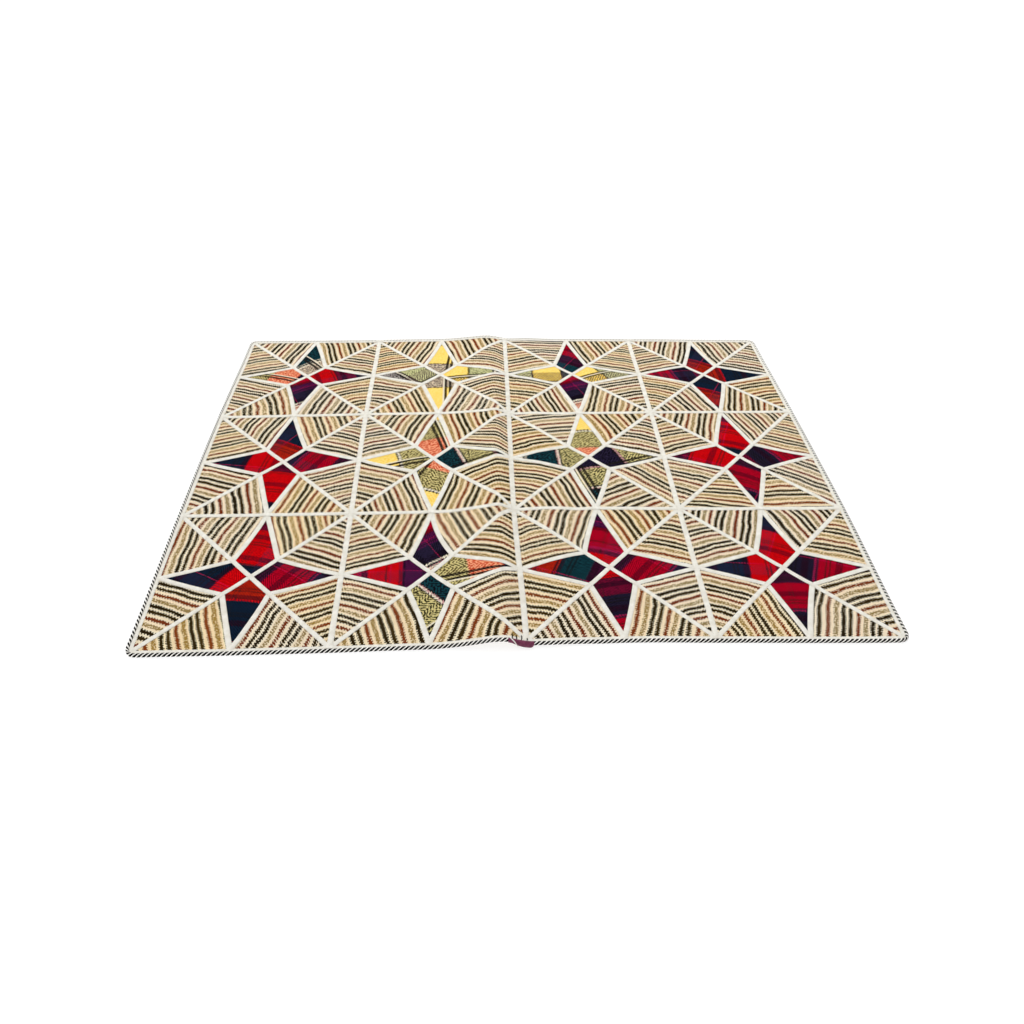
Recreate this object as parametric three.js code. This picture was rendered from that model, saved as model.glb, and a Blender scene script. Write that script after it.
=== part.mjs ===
// A patchwork rug of star blocks, as it lies on a floor: pieced wool cloth, white cotton tape over each seam,
// a whipped roll round the edge and a bare cloth label folded over the front of that roll.
// Millimetres, +Z up. The origin is on the floor under the rug's middle, +X along the rug's longer side and
// +Y towards its back edge.
import * as THREE from "three";

// The patchwork: star blocks in columns from left to right and in rows from the back to the front.
const COLUMNS = 4;
const ROWS = 3;
const BLOCK_WIDTH = 500;
const BLOCK_DEPTH = 550;
const WAIST_SHARE = 0.25; // where a star's inner corners lie on a half diagonal, from the block's middle

// Thicknesses, and the gap between pieces that lie on or against each other.
const CLOTH_THICK = 5;
const TAPE_THICK = 1.1;
const LABEL_THICK = 0.9;
const GAP = 0.3;

// Widths of the seam tapes. Each is centred on its seam, and the edge tape on the outermost seam lines.
const COLUMN_TAPE = 16;
const ROW_TAPE = 15;
const DIAGONAL_TAPE = 14;
const STAR_TAPE = 15;
const EDGE_TAPE = 10.5;

// The whipped roll along the cloth's cut edge, and the rounding of the rug's corners.
const ROLL_WIDTH = 9;
const ROLL_HEIGHT = 11;
const ROLL_SIDES = 12;
const CORNER_STEPS = 6; // even, so that two lengths of the roll meet at the middle of a corner

// The label's ends along the front edge, and the angles on the roll between which it is folded.
const LABEL_LEFT = -47;
const LABEL_RIGHT = 20;
const LABEL_INNER_ANGLE = 125;
const LABEL_OUTER_ANGLE = -62;
const LABEL_STEPS = 10;

// How the rug lies. Each row is a line from the back edge to the front one, at its place across the rug.
// The other columns are its height over the floor where it meets the four cross seams.
const FOLD_LINES = [
  { across: -260, back: 0, upper: 0, lower: 0, front: 0 },
  { across: -190, back: 4, upper: 4, lower: 4, front: 5 },
  { across: -130, back: 10, upper: 10, lower: 14, front: 14 },
  { across: -80, back: 15, upper: 16, lower: 24, front: 23 },
  { across: -45, back: 13, upper: 21, lower: 29, front: 22 },
  { across: -18, back: 8, upper: 11, lower: 18, front: 13 },
  { across: 0, back: 4, upper: 4, lower: 9, front: 8 },
  { across: 40, back: 3, upper: 3, lower: 8, front: 6 },
  { across: 90, back: 4, upper: 5, lower: 9, front: 5 },
  { across: 140, back: 2, upper: 2, lower: 6, front: 3 },
  { across: 200, back: 0, upper: 0, lower: 0, front: 0 },
];

// How far the hand-sewn column seams wander to the right, and the cross seams to the back, where they meet.
const RIGHT_WANDER = [
  { across: -1000, back: 7, upper: -2, lower: -3, front: 1 },
  { across: -500, back: 2, upper: -4, lower: 0, front: 1 },
  { across: -250, back: 0, upper: -1, lower: -6, front: 3 },
  { across: 0, back: 1, upper: -2, lower: -7, front: 3 },
  { across: 250, back: -2, upper: -2, lower: -3, front: 9 },
  { across: 500, back: 0, upper: 4, lower: 1, front: -1 },
  { across: 1000, back: -4, upper: 2, lower: 3, front: -7 },
];
const BACK_WANDER = [
  { across: -1000, back: -8, upper: -3, lower: -4, front: -2 },
  { across: -500, back: -4, upper: 7, lower: -2, front: 1 },
  { across: -250, back: 2, upper: 10, lower: 0, front: 6 },
  { across: 0, back: -1, upper: 0, lower: -2, front: 7 },
  { across: 250, back: -4, upper: 2, lower: 8, front: 16 },
  { across: 500, back: -8, upper: 3, lower: 1, front: 10 },
  { across: 1000, back: -22, upper: 0, lower: -6, front: -2 },
];
const CROSS_SEAMS = ["back", "upper", "lower", "front"];

const HALF_WIDTH = (COLUMNS * BLOCK_WIDTH) / 2;
const HALF_DEPTH = (ROWS * BLOCK_DEPTH) / 2;
const EDGE_OUT = EDGE_TAPE / 2; // from the outermost seam lines to the cloth's cut edge
const TINY = 1e-6;

const columnSeam = (column) => column * BLOCK_WIDTH - HALF_WIDTH;
const crossSeam = (row) => HALF_DEPTH - row * BLOCK_DEPTH;

// The lay: the places across and along the rug between which it is flat.
const layPlaces = new Set([...FOLD_LINES, ...RIGHT_WANDER].map((line) => line.across));
const LAY_ACROSS = [...layPlaces].sort((a, b) => a - b);
const LAY_ALONG = CROSS_SEAMS.map((name, row) => crossSeam(row));

function tableValue(table, seam, across) {
  if (across <= table[0].across) return table[0][seam];
  const next = table.findIndex((line) => line.across >= across);
  if (next < 0) return table[table.length - 1][seam];
  const [low, high] = [table[next - 1], table[next]];
  const share = (across - low.across) / (high.across - low.across);
  return THREE.MathUtils.lerp(low[seam], high[seam], share);
}

// The shift from a point's place in the straight plan to its place as it lies, at a crossing of the lay.
function shiftAt(station, row) {
  const across = LAY_ACROSS[station];
  const seam = CROSS_SEAMS[row];
  return new THREE.Vector3(
    tableValue(RIGHT_WANDER, seam, across),
    tableValue(BACK_WANDER, seam, across),
    tableValue(FOLD_LINES, seam, across),
  );
}
const SHIFTS = LAY_ACROSS.map((across, station) => CROSS_SEAMS.map((seam, row) => shiftAt(station, row)));

function layCell(x, y) {
  const station = LAY_ACROSS.findLastIndex((across) => across <= x);
  const row = LAY_ALONG.findLastIndex((along) => along >= y);
  return {
    station: THREE.MathUtils.clamp(station, 0, LAY_ACROSS.length - 2),
    row: THREE.MathUtils.clamp(row, 0, LAY_ALONG.length - 2),
  };
}

// A point of the straight plan, at a height over the cloth's underside, as it lies. Each cell of the lay is
// two flat triangles that meet on its diagonal, and past the outermost seams the lay goes on unchanged.
function lie(x, y, height) {
  const { station, row } = layCell(x, y);
  const u = THREE.MathUtils.mapLinear(x, LAY_ACROSS[station], LAY_ACROSS[station + 1], 0, 1);
  const v = THREE.MathUtils.mapLinear(y, LAY_ALONG[row], LAY_ALONG[row + 1], 0, 1);
  const across = THREE.MathUtils.clamp(u, 0, 1);
  const along = THREE.MathUtils.clamp(v, 0, 1);
  const start = SHIFTS[station][row];
  const end = SHIFTS[station + 1][row + 1];
  const turn = across >= along ? SHIFTS[station + 1][row] : SHIFTS[station][row + 1];
  const first = Math.max(across, along);
  const second = Math.min(across, along);
  return new THREE.Vector3(x, y, height)
    .addScaledVector(start, 1 - first)
    .addScaledVector(turn, first - second)
    .addScaledVector(end, second);
}

// Plan polygons are convex lists of [x, y] that run anticlockwise.
const side = ([x, y], line) => (x - line.x) * line.nx + (y - line.y) * line.ny;
const lineAcross = (x) => ({ x, y: 0, nx: 1, ny: 0 });
const lineAlong = (y) => ({ x: 0, y, nx: 0, ny: 1 });

// The part of a polygon on the side of a line that its normal points to.
function keepSide(polygon, line) {
  const kept = [];
  polygon.forEach((point, i) => {
    const next = polygon[(i + 1) % polygon.length];
    const here = side(point, line);
    const there = side(next, line);
    if (here > -TINY) kept.push(point);
    if ((here > TINY && there < -TINY) || (here < -TINY && there > TINY)) {
      const share = here / (here - there);
      kept.push([point[0] + (next[0] - point[0]) * share, point[1] + (next[1] - point[1]) * share]);
    }
  });
  return kept;
}

function area(polygon) {
  return polygon.reduce((sum, [x, y], i) => {
    const [nextX, nextY] = polygon[(i + 1) % polygon.length];
    return sum + (x * nextY - nextX * y) / 2;
  }, 0);
}

function middle(polygon) {
  const [x, y] = polygon.reduce(([sx, sy], [px, py]) => [sx + px, sy + py], [0, 0]);
  return [x / polygon.length, y / polygon.length];
}

function cutAlong(polygons, line) {
  const back = { ...line, nx: -line.nx, ny: -line.ny };
  return polygons
    .flatMap((polygon) => [keepSide(polygon, line), keepSide(polygon, back)])
    .filter((polygon) => polygon.length > 2 && area(polygon) > TINY);
}

// Cuts a polygon that lies in one cell of the lay along the cell's diagonal, if the cell is bent there.
function cutOnDiagonal(polygon) {
  const [x, y] = middle(polygon);
  if (Math.abs(x) > HALF_WIDTH || Math.abs(y) > HALF_DEPTH) return [polygon];
  const { station, row } = layCell(x, y);
  const bend = SHIFTS[station][row].clone().add(SHIFTS[station + 1][row + 1]);
  bend.sub(SHIFTS[station + 1][row]).sub(SHIFTS[station][row + 1]);
  if (bend.length() < TINY) return [polygon];
  const run = LAY_ACROSS[station + 1] - LAY_ACROSS[station];
  const fall = LAY_ALONG[row + 1] - LAY_ALONG[row];
  return cutAlong([polygon], { x: LAY_ACROSS[station], y: LAY_ALONG[row], nx: -fall, ny: run });
}

// A thin solid of even thickness on the lying rug, over plan polygons that share whole edges.
function sheet(outlines, base, thick) {
  let polygons = outlines;
  for (const x of LAY_ACROSS) polygons = cutAlong(polygons, lineAcross(x));
  for (const y of LAY_ALONG) polygons = cutAlong(polygons, lineAlong(y));
  polygons = polygons.flatMap(cutOnDiagonal);

  const places = new Map();
  const points = [];
  const cornerOf = ([x, y]) => {
    const key = `${x.toFixed(3)} ${y.toFixed(3)}`;
    if (!places.has(key)) {
      places.set(key, points.length / 2);
      points.push(lie(x, y, base), lie(x, y, base + thick));
    }
    return places.get(key);
  };
  const faces = polygons
    .map((polygon) => polygon.map(cornerOf))
    .map((corners) => corners.filter((corner, i) => corner !== corners[(i + 1) % corners.length]))
    .filter((corners) => corners.length > 2);

  const edgeKey = (from, to) => `${from} ${to}`;
  const edges = faces.flatMap((face) => face.map((from, i) => [from, face[(i + 1) % face.length]]));
  const known = new Set(edges.map(([from, to]) => edgeKey(from, to)));
  const under = (corner) => 2 * corner;
  const over = (corner) => 2 * corner + 1;
  const index = [];
  for (const face of faces) {
    for (let i = 1; i < face.length - 1; i += 1) {
      index.push(over(face[0]), over(face[i]), over(face[i + 1]));
      index.push(under(face[0]), under(face[i + 1]), under(face[i]));
    }
  }
  for (const [from, to] of edges) {
    if (known.has(edgeKey(to, from))) continue;
    index.push(under(from), under(to), over(to));
    index.push(under(from), over(to), over(from));
  }
  return new THREE.BufferGeometry().setFromPoints(points).setIndex(index);
}

// A closed section of {out, up} points carried along stations of the cloth's edge, with flat ends.
function carried(stations, section) {
  const points = stations.flatMap(({ x, y, nx, ny }) =>
    section.map(({ out, up }) => lie(x + nx * out, y + ny * out, up)),
  );
  const count = section.length;
  const index = [];
  for (let ring = 0; ring < stations.length - 1; ring += 1) {
    for (let i = 0; i < count; i += 1) {
      const here = ring * count + i;
      const next = ring * count + ((i + 1) % count);
      index.push(here, here + count, next + count);
      index.push(here, next + count, next);
    }
  }
  const flat = section.map(({ out, up }) => new THREE.Vector2(out, up));
  const last = (stations.length - 1) * count;
  for (const [a, b, c] of THREE.ShapeUtils.triangulateShape(flat, [])) {
    index.push(a, b, c);
    index.push(last + a, last + c, last + b);
  }
  return new THREE.BufferGeometry().setFromPoints(points).setIndex(index);
}

function box(left, right, front, back) {
  return [
    [left, front],
    [right, front],
    [right, back],
    [left, back],
  ];
}

// Stations round a corner of the rug, which is rounded about the crossing of its two outermost seams.
// Corners run anticlockwise from the front right one, and a station's normal points out of the rug.
function cornerStations(corner, from = 0, to = CORNER_STEPS) {
  const right = corner < 2 ? 1 : -1;
  const back = corner === 1 || corner === 2 ? 1 : -1;
  const stations = [];
  for (let step = from; step <= to; step += 1) {
    const angle = (corner - 1 + step / CORNER_STEPS) * (Math.PI / 2);
    const normal = { nx: Math.cos(angle), ny: Math.sin(angle) };
    stations.push({ x: right * HALF_WIDTH, y: back * HALF_DEPTH, ...normal });
  }
  return stations;
}

// The rug's outline at a distance out from the outermost seams.
function roundedOutline(out) {
  return [0, 1, 2, 3].flatMap((corner) =>
    cornerStations(corner).map(({ x, y, nx, ny }) => [x + nx * out, y + ny * out]),
  );
}

// The outline of an oval about the roll's middle, drawn from one angle in degrees to another.
const ROLL_MIDDLE = { out: EDGE_OUT + GAP + ROLL_WIDTH / 2, up: ROLL_HEIGHT / 2 };
const ROLL_BULGE = 1 / Math.cos(Math.PI / ROLL_SIDES); // brings the flats to the roll's size

function rollPoint(degrees, clear) {
  const angle = THREE.MathUtils.degToRad(degrees);
  return {
    out: ROLL_MIDDLE.out + ((ROLL_WIDTH / 2) * ROLL_BULGE + clear) * Math.cos(angle),
    up: ROLL_MIDDLE.up + ((ROLL_HEIGHT / 2) * ROLL_BULGE + clear) * Math.sin(angle),
  };
}

const rug = new THREE.Group();
const wool = new THREE.MeshStandardMaterial({ color: 0xd3bf98, roughness: 0.95, metalness: 0 });
const cotton = new THREE.MeshStandardMaterial({ color: 0xe9e5da, roughness: 0.9, metalness: 0 });
const whipping = new THREE.MeshStandardMaterial({ color: 0x6d6a64, roughness: 0.85, metalness: 0 });
const ribbon = new THREE.MeshStandardMaterial({ color: 0x732d4b, roughness: 0.8, metalness: 0 });

function add(name, geometry, material) {
  const mesh = new THREE.Mesh(geometry, material);
  mesh.name = name;
  rug.add(mesh);
}

// The pieced cloth: one sheet, with its patches sewn edge to edge.
add("pieced_cloth", sheet([roundedOutline(EDGE_OUT)], 0, CLOTH_THICK), wool);

const TAPE_BASE = CLOTH_THICK + GAP;
const addTape = (name, outlines) => add(name, sheet(outlines, TAPE_BASE, TAPE_THICK), cotton);

// The edge tape: one ring along the outermost seams.
const innerWidth = HALF_WIDTH - EDGE_TAPE / 2;
const innerDepth = HALF_DEPTH - EDGE_TAPE / 2;
const ringLines = [
  lineAcross(-innerWidth),
  lineAcross(innerWidth),
  lineAlong(-innerDepth),
  lineAlong(innerDepth),
];
const ringPieces = ringLines.reduce(cutAlong, [roundedOutline(EDGE_OUT - GAP)]).filter((polygon) => {
  const [x, y] = middle(polygon);
  return Math.abs(x) > innerWidth || Math.abs(y) > innerDepth;
});
addTape("edge_tape", ringPieces);

// The column tapes run whole from edge tape to edge tape.
for (let column = 1; column < COLUMNS; column += 1) {
  const x = columnSeam(column);
  const reach = innerDepth - GAP;
  addTape(`column_tape_${column}`, [box(x - COLUMN_TAPE / 2, x + COLUMN_TAPE / 2, -reach, reach)]);
}

// The free inside of a column of blocks or of a row of blocks, between the tapes on its two sides.
function insideColumn(column) {
  const tape = (seam) => (seam === 0 || seam === COLUMNS ? EDGE_TAPE : COLUMN_TAPE) / 2 + GAP;
  return [columnSeam(column) + tape(column), columnSeam(column + 1) - tape(column + 1)];
}
function insideRow(row) {
  const tape = (seam) => (seam === 0 || seam === ROWS ? EDGE_TAPE : ROW_TAPE) / 2 + GAP;
  return [crossSeam(row + 1) + tape(row + 1), crossSeam(row) - tape(row)];
}

// The cross tapes are sewn on in lengths between the column tapes.
for (let row = 1; row < ROWS; row += 1) {
  for (let column = 0; column < COLUMNS; column += 1) {
    const [left, right] = insideColumn(column);
    const y = crossSeam(row);
    addTape(`cross_tape_${row}_${column + 1}`, [box(left, right, y - ROW_TAPE / 2, y + ROW_TAPE / 2)]);
  }
}

// Moves each side of an anticlockwise polygon inwards by its own distance, and gives the new corners.
function inset(polygon, distances) {
  const lines = polygon.map((point, i) => {
    const next = polygon[(i + 1) % polygon.length];
    const run = new THREE.Vector2(next[0] - point[0], next[1] - point[1]).normalize();
    return { run, x: point[0] - run.y * distances[i], y: point[1] + run.x * distances[i] };
  });
  return lines.map((line, i) => {
    const before = lines[(i + lines.length - 1) % lines.length];
    const cross = before.run.cross(line.run);
    const share = ((line.x - before.x) * line.run.y - (line.y - before.y) * line.run.x) / cross;
    return [before.x + before.run.x * share, before.y + before.run.y * share];
  });
}

// The half tape along each side of a patch, as one quadrilateral a side, but for a side on the block's border.
function halfTapes(patch, widths, borderSide) {
  const hole = inset(patch, widths.map((width) => width / 2));
  return patch.flatMap((point, i) => {
    const next = (i + 1) % patch.length;
    return i === borderSide ? [] : [[point, patch[next], hole[next], hole[i]]];
  });
}

// A block's star tapes: both diagonals and the eight sides of the star, fused where they cross.
function starTapes(row, column) {
  const x = (columnSeam(column) + columnSeam(column + 1)) / 2;
  const y = (crossSeam(row) + crossSeam(row + 1)) / 2;
  const halfWidth = BLOCK_WIDTH / 2;
  const halfDepth = BLOCK_DEPTH / 2;
  const corners = [
    [1, -1],
    [1, 1],
    [-1, 1],
    [-1, -1],
  ];
  const at = (u, v) => [x + u * halfWidth, y + v * halfDepth];
  const quads = corners.flatMap(([u, v], i) => {
    const [nextU, nextV] = corners[(i + 1) % corners.length];
    const waist = at(u * WAIST_SHARE, v * WAIST_SHARE);
    const nextWaist = at(nextU * WAIST_SHARE, nextV * WAIST_SHARE);
    const tip = at((u + nextU) / 2, (v + nextV) / 2);
    const border = u === nextU ? COLUMN_TAPE : ROW_TAPE;
    const kite = [at(0, 0), waist, tip, nextWaist];
    const before = [waist, at(u, v), tip];
    const after = [tip, at(nextU, nextV), nextWaist];
    return [
      ...halfTapes(kite, [DIAGONAL_TAPE, STAR_TAPE, STAR_TAPE, DIAGONAL_TAPE]),
      ...halfTapes(before, [DIAGONAL_TAPE, border, STAR_TAPE], 1),
      ...halfTapes(after, [border, DIAGONAL_TAPE, STAR_TAPE], 0),
    ];
  });
  const [left, right] = insideColumn(column);
  const [front, back] = insideRow(row);
  const limits = [
    { x: left, y: 0, nx: 1, ny: 0 },
    { x: right, y: 0, nx: -1, ny: 0 },
    { x: 0, y: front, nx: 0, ny: 1 },
    { x: 0, y: back, nx: 0, ny: -1 },
  ];
  const trimmed = quads.map((quad) => limits.reduce(keepSide, quad));
  return trimmed.filter((polygon) => polygon.length > 2 && area(polygon) > TINY);
}
for (let row = 0; row < ROWS; row += 1) {
  for (let column = 0; column < COLUMNS; column += 1) {
    addTape(`star_tape_${row + 1}_${column + 1}`, starTapes(row, column));
  }
}

// The whipped roll, in four lengths that meet at the middle of each corner. A length starts and ends with
// half a corner, and between them it bends where the lay does.
const rollStep = 360 / ROLL_SIDES;
const rollSection = Array.from({ length: ROLL_SIDES }, (unused, i) => rollPoint((i + 0.5) * rollStep, 0));
const inside = (limit) => (place) => Math.abs(place) < limit - TINY;
const toRight = LAY_ACROSS.filter(inside(HALF_WIDTH));
const toFront = LAY_ALONG.filter(inside(HALF_DEPTH));
const toLeft = toRight.toReversed();
const toBack = toFront.toReversed();
const edgeLengths = [
  { name: "front", corner: 3, between: toRight.map((x) => ({ x, y: -HALF_DEPTH, nx: 0, ny: -1 })) },
  { name: "right", corner: 0, between: toBack.map((y) => ({ x: HALF_WIDTH, y, nx: 1, ny: 0 })) },
  { name: "back", corner: 1, between: toLeft.map((x) => ({ x, y: HALF_DEPTH, nx: 0, ny: 1 })) },
  { name: "left", corner: 2, between: toFront.map((y) => ({ x: -HALF_WIDTH, y, nx: -1, ny: 0 })) },
];

// Shortens a length by half the gap at a mitred end, along the edge's own direction there.
function drawnBack(station, along) {
  return { ...station, x: station.x - station.ny * along, y: station.y + station.nx * along };
}
for (const { name, corner, between } of edgeLengths) {
  const start = cornerStations(corner, CORNER_STEPS / 2, CORNER_STEPS);
  const end = cornerStations((corner + 1) % 4, 0, CORNER_STEPS / 2);
  start[0] = drawnBack(start[0], GAP / 2);
  end[end.length - 1] = drawnBack(end[end.length - 1], -GAP / 2);
  add(`whipped_edge_${name}`, carried([...start, ...between, ...end], rollSection), whipping);
}

// The label: a short ribbon folded over the roll's top and front.
const labelArc = (clear) =>
  Array.from({ length: LABEL_STEPS + 1 }, (unused, i) => {
    const turn = LABEL_OUTER_ANGLE - LABEL_INNER_ANGLE;
    return rollPoint(LABEL_INNER_ANGLE + (turn * i) / LABEL_STEPS, clear);
  });
const labelSection = [...labelArc(GAP), ...labelArc(GAP + LABEL_THICK).reverse()];
const labelStations = [
  LABEL_LEFT,
  ...LAY_ACROSS.filter((x) => x > LABEL_LEFT && x < LABEL_RIGHT),
  LABEL_RIGHT,
].map((x) => ({ x, y: -HALF_DEPTH, nx: 0, ny: -1 }));
add("edge_label", carried(labelStations, labelSection), ribbon);

export default rug;
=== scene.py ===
import math

import bpy
import numpy as np
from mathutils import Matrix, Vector


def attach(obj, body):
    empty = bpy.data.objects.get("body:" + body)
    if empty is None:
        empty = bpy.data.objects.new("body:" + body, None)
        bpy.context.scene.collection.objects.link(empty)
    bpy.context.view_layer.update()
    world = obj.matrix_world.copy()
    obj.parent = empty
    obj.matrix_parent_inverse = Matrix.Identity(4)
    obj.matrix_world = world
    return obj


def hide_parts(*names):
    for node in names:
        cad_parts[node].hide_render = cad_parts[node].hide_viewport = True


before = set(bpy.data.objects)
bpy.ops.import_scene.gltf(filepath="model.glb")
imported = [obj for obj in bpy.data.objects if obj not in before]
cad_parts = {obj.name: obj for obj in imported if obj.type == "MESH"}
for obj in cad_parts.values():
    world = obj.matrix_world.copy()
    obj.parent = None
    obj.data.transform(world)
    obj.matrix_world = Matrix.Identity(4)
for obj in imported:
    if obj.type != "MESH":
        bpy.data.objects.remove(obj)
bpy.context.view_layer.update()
bpy.ops.object.select_all(action="DESELECT")

# The pieced cloth: four columns of star blocks, each block of eight striped wool triangles and
# four plaid wool kites. The patches are sewn edge to edge, and the columns are joined last. It
# lies on the floor, with one low soft fold from the front edge to the back, left of the middle.
MM = 0.001
COLUMNS = 4
ROWS = 3
BLOCK_WIDTH = 500 * MM
BLOCK_DEPTH = 550 * MM
CLOTH_THICK = 5 * MM
CUT_EDGE = 5.25 * MM
SEAM_GAP = 0.15 * MM
HALF_WIDTH = COLUMNS * BLOCK_WIDTH / 2
HALF_DEPTH = ROWS * BLOCK_DEPTH / 2
CROSS_SEAMS = np.linspace(-HALF_DEPTH, HALF_DEPTH, ROWS + 1)
TOUCH = MM / 100
SMOOTH_ANGLE = math.radians(50)

# How the rug lies, in millimetres. A row is a line from back to front at its place across the
# rug, and its numbers are the heights over the floor at the four cross seams, the back one first.
FOLD_LINES = {
    -260: (0, 0, 0, 0),
    -190: (4, 4, 4, 5),
    -130: (10, 10, 14, 14),
    -80: (15, 16, 24, 23),
    -45: (13, 21, 29, 22),
    -18: (8, 11, 18, 13),
    0: (4, 4, 9, 8),
    40: (3, 3, 8, 6),
    90: (4, 5, 9, 5),
    140: (2, 2, 6, 3),
    200: (0, 0, 0, 0),
}
# How far the hand-sewn seams wander to the right and to the back where they cross, likewise.
RIGHT_WANDER = {
    -1000: (7, -2, -3, 1),
    -500: (2, -4, 0, 1),
    -250: (0, -1, -6, 3),
    0: (1, -2, -7, 3),
    250: (-2, -2, -3, 9),
    500: (0, 4, 1, -1),
    1000: (-4, 2, 3, -7),
}
BACK_WANDER = {
    -1000: (-8, -3, -4, -2),
    -500: (-4, 7, -2, 1),
    -250: (2, 10, 0, 6),
    0: (-1, 0, -2, 7),
    250: (-4, 2, 8, 16),
    500: (-8, 3, 1, 10),
    1000: (-22, 0, -6, -2),
}
# Shallow ripples all over: their height, then their waves across and along the rug and the bends
# in those waves, in radians to a metre, and how far the bends sway.
RIPPLE = 0.8 * MM
RIPPLE_WAVES = (11, 9)
RIPPLE_BENDS = (5, 7)
RIPPLE_SWAY = 2
# The whipping draws the rug's corners in round, from this far along the outermost seams.
CORNER_RUN = 18 * MM
CORNER_FULLNESS = 4.5


def soft_step(value):
    """A smooth rise from 0 to 1."""
    value = np.clip(value, 0, 1)
    return value * value * (3 - 2 * value)


def soft_weights(places, stations):
    """How much each station counts at each place, on curves through them that have no corners."""
    own = np.eye(len(stations))
    slope = np.gradient(own, stations, axis=0)
    slope[[0, -1]] = 0
    places = np.clip(places, stations[0], stations[-1])
    low = np.clip(np.searchsorted(stations, places, side="right") - 1, 0, len(stations) - 2)
    run = (stations[low + 1] - stations[low])[:, None]
    t = (places - stations[low])[:, None] / run
    rise = soft_step(t)
    leave = t * (1 - t) ** 2 * run
    reach = t * t * (t - 1) * run
    level = (1 - rise) * own[low] + rise * own[low + 1]
    return level + leave * slope[low] + reach * slope[low + 1]


def table_value(table, x, y):
    """A table's value in metres at places of the straight plan."""
    across = np.array(sorted(table))
    values = np.array([table[place][::-1] for place in across]) * MM
    across_weights = soft_weights(x, across * MM)
    return np.einsum("ni,ij,nj->n", across_weights, values, soft_weights(y, CROSS_SEAMS))


def round_corners(x, y):
    """Draws in the places near the rug's four corners, so that a square corner comes out round."""
    past_x = np.maximum(np.abs(x) - HALF_WIDTH + CORNER_RUN, 0)
    past_y = np.maximum(np.abs(y) - HALF_DEPTH + CORNER_RUN, 0)
    square = (past_x**CORNER_FULLNESS + past_y**CORNER_FULLNESS) ** (1 / CORNER_FULLNESS)
    drawn = 1 - square / np.maximum(np.hypot(past_x, past_y), TOUCH)
    drawn = np.where((past_x > 0) & (past_y > 0), drawn, 0)
    return x - np.sign(x) * drawn * past_x, y - np.sign(y) * drawn * past_y


def lie(x, y, height):
    """Places of the straight plan, at heights over the cloth's underside, as they lie on the floor."""
    x, y = round_corners(x, y)
    across = np.sin(RIPPLE_WAVES[0] * x + RIPPLE_SWAY * np.sin(RIPPLE_BENDS[0] * y))
    along = np.sin(RIPPLE_WAVES[1] * y + RIPPLE_SWAY * np.sin(RIPPLE_BENDS[1] * x))
    ripple = RIPPLE * (0.5 + 0.5 * across * along)
    rise = np.maximum(table_value(FOLD_LINES, x, y), 0) + ripple
    right = x + table_value(RIGHT_WANDER, x, y)
    back = y + table_value(BACK_WANDER, x, y)
    return np.column_stack((right, back, rise + height))


def new_piece(name, points, faces, places=None):
    """A new mesh piece at the origin, with a UV place in metres for each corner of each face."""
    mesh = bpy.data.meshes.new(name)
    mesh.from_pydata(points.tolist(), [], faces)
    if places is not None:
        layer = mesh.uv_layers.new(name="run")
        layer.data.foreach_set("uv", np.asarray(places, np.float32).ravel())
    mesh.polygons.foreach_set("use_smooth", [True] * len(mesh.polygons))
    mesh.set_sharp_from_angle(angle=SMOOTH_ANGLE)
    piece = bpy.data.objects.new(name, mesh)
    bpy.context.scene.collection.objects.link(piece)
    return piece


def fit(piece, slot, finishes, *nodes):
    """Gives a piece its finishes and its body, in place of the CAD nodes it stands for. The slot is
    not used.
    """
    for finish in finishes:
        piece.data.materials.append(finish.material)
    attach(piece, "root")
    if nodes:
        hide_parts(*nodes)


# The patches of one block. Sides run anticlockwise from the right, and each has its own corner
# after it. A waist is where two star sides meet on a diagonal, as a share of the way to the corner.
SIDE_NAMES = ("right", "back", "left", "front")
SIDE_WAYS = np.array([(1, 0), (0, 1), (-1, 0), (0, -1)])
CORNER_WAYS = np.array([(1, 1), (-1, 1), (-1, -1), (1, -1)])
HALF_BLOCK = np.array([BLOCK_WIDTH, BLOCK_DEPTH]) / 2
PATCH_STEPS = 28
WAIST_SHARE = 0.25
WAIST_UNEVEN = 0.008
# Every patch is a little crowned between its seams, and every star side a little bowed, but for
# one at the front with a deep bow.
CROWN = 1.8 * MM
CROWN_START = 8 * MM
CROWN_RUN = 32 * MM
STAR_BOW = 3.5 * MM
DEEP_BOW = -11 * MM
# Stars that are sewn off the middle of their block, in millimetres to the right and to the back.
STAR_SHIFTS = {
    (0, 0): (2, 4), (0, 1): (6, -2), (1, 1): (-6, 2), (2, 1): (5, 1), (2, 0): (0, 4), (3, 0): (-3, 0),
}
hand = np.random.default_rng(7)
cutting = np.random.default_rng(11)
star_bows = hand.uniform(-STAR_BOW, STAR_BOW, (COLUMNS, ROWS, 4, 2))
star_bows[1, 2, 1, 0] = DEEP_BOW
waist_shares = WAIST_SHARE + hand.uniform(-WAIST_UNEVEN, WAIST_UNEVEN, (COLUMNS, ROWS, 4, 1))


def block_places(column, row):
    """A block's middle, and its tips, corners and waists by side. Row 0 is at the back."""
    x = (column + 0.5) * BLOCK_WIDTH - HALF_WIDTH
    y = HALF_DEPTH - (row + 0.5) * BLOCK_DEPTH
    middle = np.array([x, y])
    corners = middle + CORNER_WAYS * HALF_BLOCK
    tips = middle + SIDE_WAYS * HALF_BLOCK
    middle = middle + np.array(STAR_SHIFTS.get((column, row), (0, 0))) * MM
    return middle, tips, corners, middle + waist_shares[column, row] * (corners - middle)


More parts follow.
